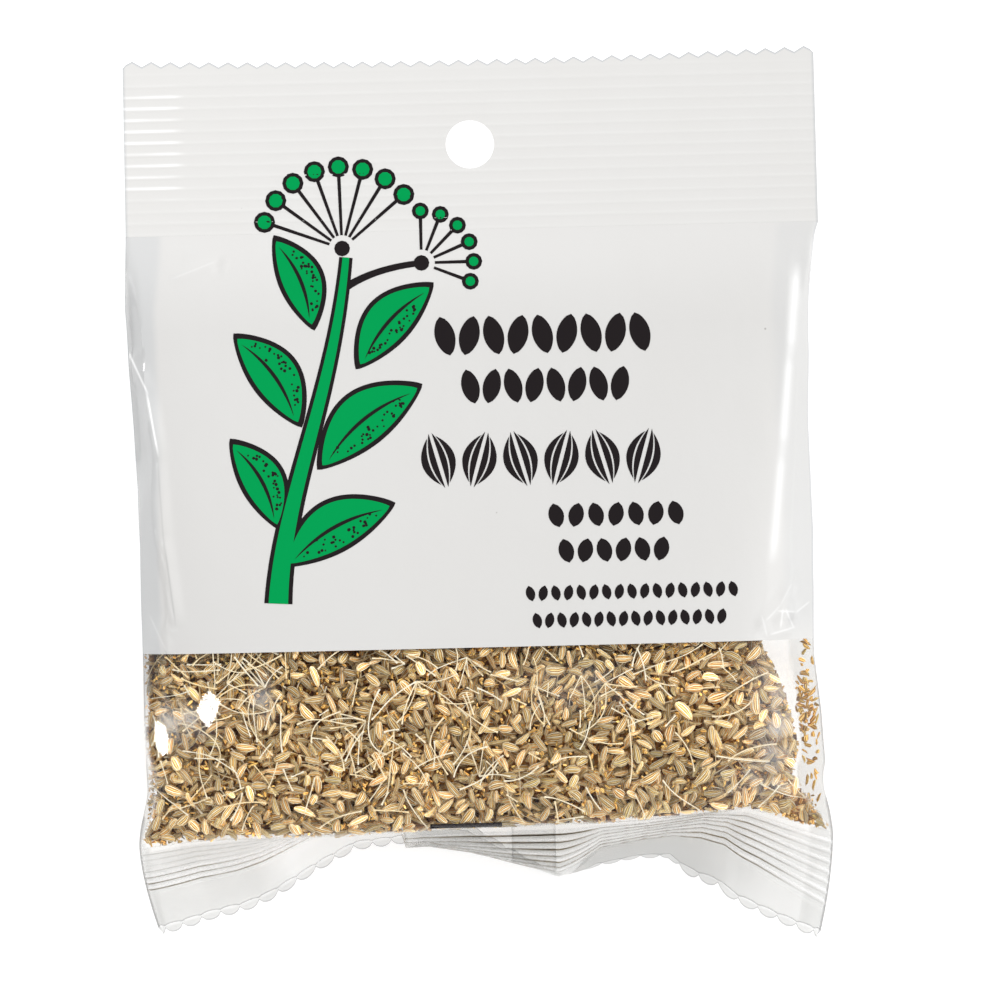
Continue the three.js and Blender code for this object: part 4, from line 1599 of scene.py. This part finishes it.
core_lid = thin_map(lid, np.min, np.inf) - CORE_DEPTH
core_base = thin_map(base, np.max, -np.inf) + CORE_DEPTH
core_bottom = np.minimum(thin_map(ground, np.max, -np.inf) + CORE_DEPTH, core_lid - LEAST_CORE)
core_bottom = np.maximum(core_bottom, core_base)
core_top = np.maximum(thin_map(sky, np.min, np.inf) - CORE_DEPTH, core_bottom + LEAST_CORE)
core_top = np.minimum(core_top, core_lid)
solid = np.isfinite(core_top) & (core_lid - core_base > 0.2)
filled = solid[:-1, :-1] & solid[1:, :-1] & solid[:-1, 1:] & solid[1:, 1:]
index = np.arange(solid.size).reshape(solid.shape)
corners = index[:-1, :-1], index[:-1, 1:], index[1:, 1:], index[1:, :-1]
core_faces = [np.stack(corners, -1)[filled], np.stack(corners[::-1], -1)[filled] + index.size]
empty = np.pad(~filled, 1, constant_values=True)
outside = empty[:-2, 1:-1], empty[1:-1, 2:], empty[2:, 1:-1], empty[1:-1, :-2]
for start, end, open_side in zip(corners, corners[1:] + corners[:1], outside):
    core_faces.append(wall_quads(start, end, index.size)[filled & open_side][:, ::-1])
core_faces = np.concatenate(core_faces)
core_x, core_y = np.meshgrid(map_x[core_columns], map_y[core_rows])
core_points = np.stack([np.stack([core_x, core_y, z], 2) for z in (core_top, core_bottom)]).reshape(-1, 3)
used, core_faces = np.unique(core_faces, return_inverse=True)
seed_core = make_object("seed_core", core_points[used], core_faces.reshape(-1, 4))
seed_core.data.materials.append(core_painted_shade)
smooth(seed_core, 80)
hand_over(seed_core)

# %% [markdown]
# ## The back seam
#
# The tube is closed by a lap weld that runs down the back, a little to one side. It is a narrow
# strip that follows the back sheet and the fin, so it is cut from the same grid: the columns of the
# back sheet between the two edges of the seam, moved outward. Clear and printed film each have
# their own length of it.

# %% Seam
SEAM_X = (4.0, 11.2)
SEAM_STEPS = 12
SEAM_THICK = 0.08
SEAM_GAP = 0.015
back_columns = np.arange(COLUMNS, RING)


def seam_piece(name, first, last, material):
    """A strip on the outer face of the back sheet between the edges of the seam."""
    strip = {key: [] for key in tube_grid}
    for row in range(first, last + 1):
        x = tube[row, back_columns, 0]
        order = np.argsort(x)
        where = np.interp(np.linspace(*SEAM_X, SEAM_STEPS + 1)[::-1], x[order], back_columns[order])
        low = np.floor(where).astype(int)
        high = np.minimum(low + 1, RING - 1)
        for key, values in tube_grid.items():
            share = (where - low).reshape((-1,) + (1,) * (values.ndim - 2))
            strip[key].append(lerp(values[row, low], values[row, high], share))
    strip = {key: np.array(values) for key, values in strip.items()}
    strip["rest"] = strip["rest"] + strip["out"] * (FILM / 2 + SEAM_THICK / 2 + SEAM_GAP)
    # painted shade along both edges of the seam
    strip["marks"][:, [0, -1], 2] = 0.4
    piece = film_shell(name, strip, SEAM_THICK, False, material)
    hand_over(piece)


seam_piece("clear_seam", 0, print_row, clear_film)
seam_piece("printed_seam", print_row, last_row, printed_white)

# %% [markdown]
# ## Ink on the film
#
# The print is a layer of green ink and a layer of black ink. It is a design of its own: a sprig with
# broad leaves and two seed heads, and beside it rows of little seeds, large at the top and small at
# the bottom. Each shape is an outline from a short formula. All outlines of one layer are filled
# with triangles in one go, and every corner is laid on the film by a ray from above, so that the ink
# follows the swell of the bag up into the header. The layers have a thickness of their own: black
# shapes first, the green over them, and black veins and dots on top.


# %% Outlines
def turned(points, degrees, x, y):
    angle = math.radians(degrees)
    spin = np.array([[math.cos(angle), math.sin(angle)], [-math.sin(angle), math.cos(angle)]])
    return points @ spin + (x, y)


def seed_outline(x, y, lean, length, width, bow=0.0, blunt=0.8):
    """A shape pointed at both ends, leaning by some degrees from X, with its middle bent by bow."""
    t = np.linspace(0, 1, max(6, int(length / 0.5)) + 1)
    half = width / 2 * np.sin(np.pi * t) ** blunt
    middle = bow * 4 * t * (1 - t)
    lower = np.stack([length * (t - 0.5), middle - half], 1)
    upper = np.stack([length * (t - 0.5), middle + half], 1)[-2:0:-1]
    return turned(np.concatenate([lower, upper]), lean, x, y)


def dot_outline(x, y, radius, sides=8):
    angle = 2 * np.pi * np.arange(sides) / sides
    return np.stack([np.cos(angle), np.sin(angle)], 1) * radius + (x, y)


def bar_outline(x0, y0, x1, y1):
    """A level bar whose long sides have a point at about every half millimetre."""
    x = np.linspace(x0, x1, int((x1 - x0) / 0.5) + 2)
    low, high = (np.stack([x, np.full_like(x, y)], 1) for y in (y0, y1))
    return np.concatenate([low, high[::-1]])


def stem_outline(points, widths):
    """A band of changing width along a curve through the points."""
    points = np.array(points, float)
    t = np.linspace(0, 1, 60)
    knots = np.linspace(0, 1, len(points))
    fit = np.polyfit(knots, points, len(points) - 1)
    line = np.stack([np.polyval(fit[:, axis], t) for axis in range(2)], 1)
    ahead = np.gradient(line, axis=0)
    aside = np.stack([-ahead[:, 1], ahead[:, 0]], 1) / np.linalg.norm(ahead, axis=1, keepdims=True)
    half = np.interp(t, np.linspace(0, 1, len(widths)), widths)[:, None] / 2
    return np.concatenate([line - aside * half, (line + aside * half)[::-1]])


# %% Ink layers
graph = bpy.context.evaluated_depsgraph_get()
film_trees = [BVHTree.FromObject(piece, graph) for piece in (pouch_film, header_piece, window_film)]


def height_on_film(x, y):
    hits = [shoot(tree, x, y)[0] for tree in film_trees]
    return max(spot.z for spot in hits if spot is not None) / MM


def ink_layer(outlines, lift, thick=0.012):
    """A closed sheet of ink over the outlines: points and triangles."""
    corners = np.concatenate(outlines)
    sizes = [len(outline) for outline in outlines]
    firsts = np.cumsum([0] + sizes[:-1])
    loops = [list(range(first, first + size)) for first, size in zip(firsts, sizes)]
    low, high = corners.min(0), corners.max(0)
    filling = [
        (x, y)
        for start, end, step in ((low[1], top_seal_y, 0.9), (top_seal_y, high[1], 0.45))
        for y in np.arange(start, end, step)
        for x in np.arange(low[0], high[0], step)
    ]
    flat_points = [Vector(point) for point in (*corners, *filling)]
    made, _, triangles, *_ = delaunay_2d_cdt(flat_points, [], loops, 1, 1e-5)
    used, triangles = np.unique(np.array(triangles), return_inverse=True)
    triangles = triangles.reshape(-1, 3)
    places = np.array([(*made[i], height_on_film(*made[i])) for i in used])
    edges = np.concatenate([triangles[:, [i, (i + 1) % 3]] for i in range(3)])
    known = {tuple(edge) for edge in edges.tolist()}
    count = len(places)
    rims = [(b, a, a + count, b + count) for a, b in edges.tolist() if (b, a) not in known]
    top, bottom = (places + (0, 0, height) for height in (lift + thick, lift))
    sides = [(a, b, c) for a, b, c, _ in rims] + [(a, c, d) for a, _, c, d in rims]
    return np.concatenate([top, bottom]), np.concatenate([triangles, triangles[:, ::-1] + count, sides])


def ink_piece(name, color, layers):
    """All layers of one ink as one piece. A layer is its outlines and its lift above the film."""
    points, faces, first = [], [], 0
    for outlines, lift in layers:
        layer_points, layer_faces = ink_layer(outlines, lift)
        points.append(layer_points)
        faces.append(layer_faces + first)
        first += len(layer_points)
    piece = make_object(name, np.concatenate(points), np.concatenate(faces))
    material, tree, surface = new_material(name)
    skin = {"Base Color": rgba(*color), "Roughness": 0.3, "Specular IOR Level": 0.0}
    tree.links.new(principled(tree, skin), surface)
    piece.data.materials.append(material)
    smooth(piece, 60)
    hand_over(piece)


# %% [markdown]
# The sprig leans to the right. Its stem is a curve with leaves set on it in turn, each with a black
# edge, a black vein and dots that thin out from the vein to one side. Two stalks at the top spread
# into umbels of small round heads.

# %% The sprig
DOT_SEED = 5
DOTS = 34  # on each leaf
ink_rng = np.random.default_rng(DOT_SEED)
STEM = [(-33, -16.2), (-30, 1.3), (-25, 19.3), (-21, 40.3)]
LEAVES = [  # x, y, lean, length, width, bow
    (-23, -5.2, 28, 19, 7.4, 1.6),
    (-36.5, 3.3, 118, 15, 6.2, -1.4),
    (-17.6, 12.3, 38, 20, 8, 1.8),
    (-34.2, 20.3, 125, 17, 7, -1.5),
    (-13.2, 28.8, 47, 17, 6.8, 1.4),
    (-29.6, 36.3, 112, 15, 6.2, -1.3),
]
HEADS = [  # x, y, direction, half spread, count and reach of the stalks, size of the fruits
    (-21.6, 41.8, 100, 60, 8, 13.5, 1.75),
    (-8.6, 39.1, 34, 56, 6, 8.6, 1.4),
]
black_shapes = [stem_outline(STEM, [4.6, 3.6, 3, 2.2])]
green_shapes = [stem_outline(STEM, [3.2, 2.3, 1.8, 1.1])]
top_shapes = []
for x, y, lean, length, width, bow in LEAVES:
    black_shapes.append(seed_outline(x, y, lean, length + 2.2, width + 1.5, bow))
    green_shapes.append(seed_outline(x, y, lean, length, width, bow))
    top_shapes.append(seed_outline(x, y, lean, length * 0.86, 0.6, bow * 0.86))
    for _ in range(DOTS):
        along = ink_rng.uniform(-0.36, 0.36)
        aside = width * (0.42 * math.cos(math.pi * along) - abs(ink_rng.normal(0, 0.13)))
        spot = np.array([[along * length, bow * (1 - 4 * along**2) - max(aside, 0.4)]])
        top_shapes.append(dot_outline(*turned(spot, lean, x, y)[0], ink_rng.uniform(0.14, 0.3), 6))
black_shapes.append(stem_outline([(-21.8, 34.9), (-16, 37.7), (-8.6, 39.1)], [1.3, 1.1, 1]))
for x, y, direction, spread, count, reach, fruit in HEADS:
    black_shapes.append(dot_outline(x, y, 1.3, 12))
    for ray in np.linspace(-spread, spread, count):
        angle = math.radians(direction + ray)
        ahead = np.array([math.cos(angle), math.sin(angle)])
        start, end = np.array([x, y]) + ahead * 2.2, np.array([x, y]) + ahead * reach
        black_shapes.append(stem_outline([start, end], [0.45, 0.6]))
        black_shapes.append(dot_outline(*end, fruit, 12))
        green_shapes.append(dot_outline(*end, fruit - 0.6, 10))

# %% [markdown]
# The rows of seeds stand upright. The largest ones are drawn by their ribs, the others are solid.

# %% The rows of seeds and the bar at the seal
SEED_ROWS = [  # first x, last x, y, height, width, count
    (-5, 27, 26.9, 6.6, 3.3, 9),
    (-1, 23.5, 18.5, 5.8, 2.9, 8),
    (12.5, 32, -2.9, 4.0, 2.5, 7),
    (14, 29.5, -8.7, 4.0, 2.5, 6),
    (8, 41, -15.5, 2.6, 1.5, 17),
    (9, 39, -19.9, 2.6, 1.5, 16),
]
for x0, x1, y, height, width, count in SEED_ROWS:
    for number, x in enumerate(np.linspace(x0, x1, count)):
        lean = 90 + 14 * (-1) ** number
        black_shapes.append(seed_outline(x, y, lean, height, width, blunt=0.62))
for number, x in enumerate(np.linspace(-6.5, 27, 6)):
    lean = 90 + 16 * (-1) ** number
    for aside, wide in ((-2.0, 1.15), (-0.75, 1.0), (0.75, 1.0), (2.0, 1.15)):
        rib = turned(np.array([[0, aside * 0.35]]), lean, x, 6.5)[0]
        black_shapes.append(seed_outline(*rib, lean, 10 - abs(aside), wide, aside * 0.75))
BAR_X = (-9.2, 2.5)
BAR_ABOVE_SEAL = 2.7
BAR_HEIGHT = 0.8
bar_y = bottom_seal_y + BAR_ABOVE_SEAL
black_shapes.append(bar_outline(BAR_X[0], bar_y, BAR_X[1], bar_y + BAR_HEIGHT))

# %% Ink pieces
ink_piece("black_ink", (0.017, 0.014, 0.015), [(black_shapes, 0.03), (top_shapes, 0.066)])
ink_piece("green_ink", (0.002, 0.3, 0.075), [(green_shapes, 0.048)])

# %% [markdown]
# ## Floor, light and camera
#
# The floor is a plain pale sheet, evenly lit. The light is that of a white tent: bright at the right
# side, and dimmer at the left and straight above, so that flat film doesn't mirror a bright ceiling
# into the eye. Two softboxes at the sides draw the bright streaks down the folds of the film, and a
# small bright lamp is what the pressed facets mirror. The camera looks straight down through a long
# lens and is turned a little, as the bag lies a little askew.

# %% Floor
FLOOR_REACH = 3000  # millimetres from the bag to each side of the floor
FLOOR_GAP = 0.25  # how far the floor lies below the bag, so that the two don't share a plane
corner_signs = ((-1, -1), (1, -1), (1, 1), (-1, 1))
floor_corners = [(FLOOR_REACH * x, FLOOR_REACH * y, -FLOOR_GAP) for x, y in corner_signs]
floor = make_object("floor", floor_corners, [(0, 1, 2, 3)])
material, tree, surface = new_material("floor")
paper_color = mix_colors(tree, noise(tree, object_place(tree), 4), grey(0.45), grey(0.47))
matte = add_node(tree, "ShaderNodeBsdfDiffuse", {"Color": paper_color})
lit = add_node(tree, "ShaderNodeEmission", {"Color": grey(1), "Strength": 0.7})
both = add_node(tree, "ShaderNodeAddShader", {0: matte.outputs[0], 1: lit.outputs[0]})
tree.links.new(both.outputs[0], surface)
floor.data.materials.append(material)

# %% White tent
scene = bpy.context.scene
world = bpy.data.worlds.new("studio")
world.use_nodes = True
scene.world = world
tree = world.node_tree
tree.nodes.clear()
direction = parts_of(tree, object_place(tree))
side_light = ramp(tree, direction["Z"], 0.74, 0.96, 1.7, 0.75, interpolation_type="SMOOTHSTEP")
uneven = ramp(tree, direction["X"], -1, 0.3, 0.03, 0.95)
strength = times(tree, side_light, uneven)
tent = add_node(tree, "ShaderNodeBackground", {"Color": grey(1), "Strength": strength})
add_node(tree, "ShaderNodeOutputWorld", {"Surface": tent.outputs[0]})


# %% Softboxes
def softbox(name, from_vertical, toward, distance, width, length, radiance):
    """An area light aimed at the bag. Toward is a compass angle in degrees, 0 to the right."""
    light = bpy.data.lights.new(name, "AREA")
    light.shape = "RECTANGLE"
    light.size = width
    light.size_y = length
    light.energy = radiance * math.pi * width * length
    lamp = bpy.data.objects.new(name, light)
    tilt, turn = math.radians(from_vertical), math.radians(toward)
    away = Vector((math.sin(tilt) * math.cos(turn), math.sin(tilt) * math.sin(turn), math.cos(tilt)))
    lamp.location = away * distance
    lamp.rotation_euler = away.to_track_quat("Z", "Y").to_euler()
    scene.collection.objects.link(lamp)


SOFTBOXES = [  # name, degrees from vertical, compass angle, distance, width, length, radiance
    ("right softbox", 58, 0, 0.75, 0.21, 0.6, 0.7),
    ("left softbox", 56, 176, 0.75, 0.05, 0.5, 3.5),
    ("catch light", 52, 140, 0.75, 0.075, 0.075, 98),
]
for values in SOFTBOXES:
    softbox(*values)

# %% Camera
VIEW_WIDTH = 0.164  # metres from side to side of the view, at the height that follows
VIEW_HEIGHT = 0.006
VIEW_RIGHT = 0.0034  # metres from the middle of the bag to the middle of the view
VIEW_BELOW_SEAL = 44.67  # millimetres from the top seal to the middle of the view
VIEW_TURN = -1.35
LENS = 200
SENSOR = 36
camera_data = bpy.data.cameras.new("camera")
camera_data.lens = LENS
camera_data.sensor_width = SENSOR
camera_data.clip_end = 20
camera = bpy.data.objects.new("camera", camera_data)
view_y = (top_seal_y - VIEW_BELOW_SEAL) * MM
camera.location = (VIEW_RIGHT, view_y, VIEW_WIDTH * LENS / SENSOR + VIEW_HEIGHT)
camera.rotation_euler = (0, 0, math.radians(VIEW_TURN))
scene.collection.objects.link(camera)
scene.camera = camera
scene.view_settings.view_transform = "Standard"
scene.cycles.transparent_max_bounces = 24
scene.cycles.max_bounces = 8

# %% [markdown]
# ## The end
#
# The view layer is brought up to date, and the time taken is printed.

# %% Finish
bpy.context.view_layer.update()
print(f"done in {time.time() - started:.0f} s")
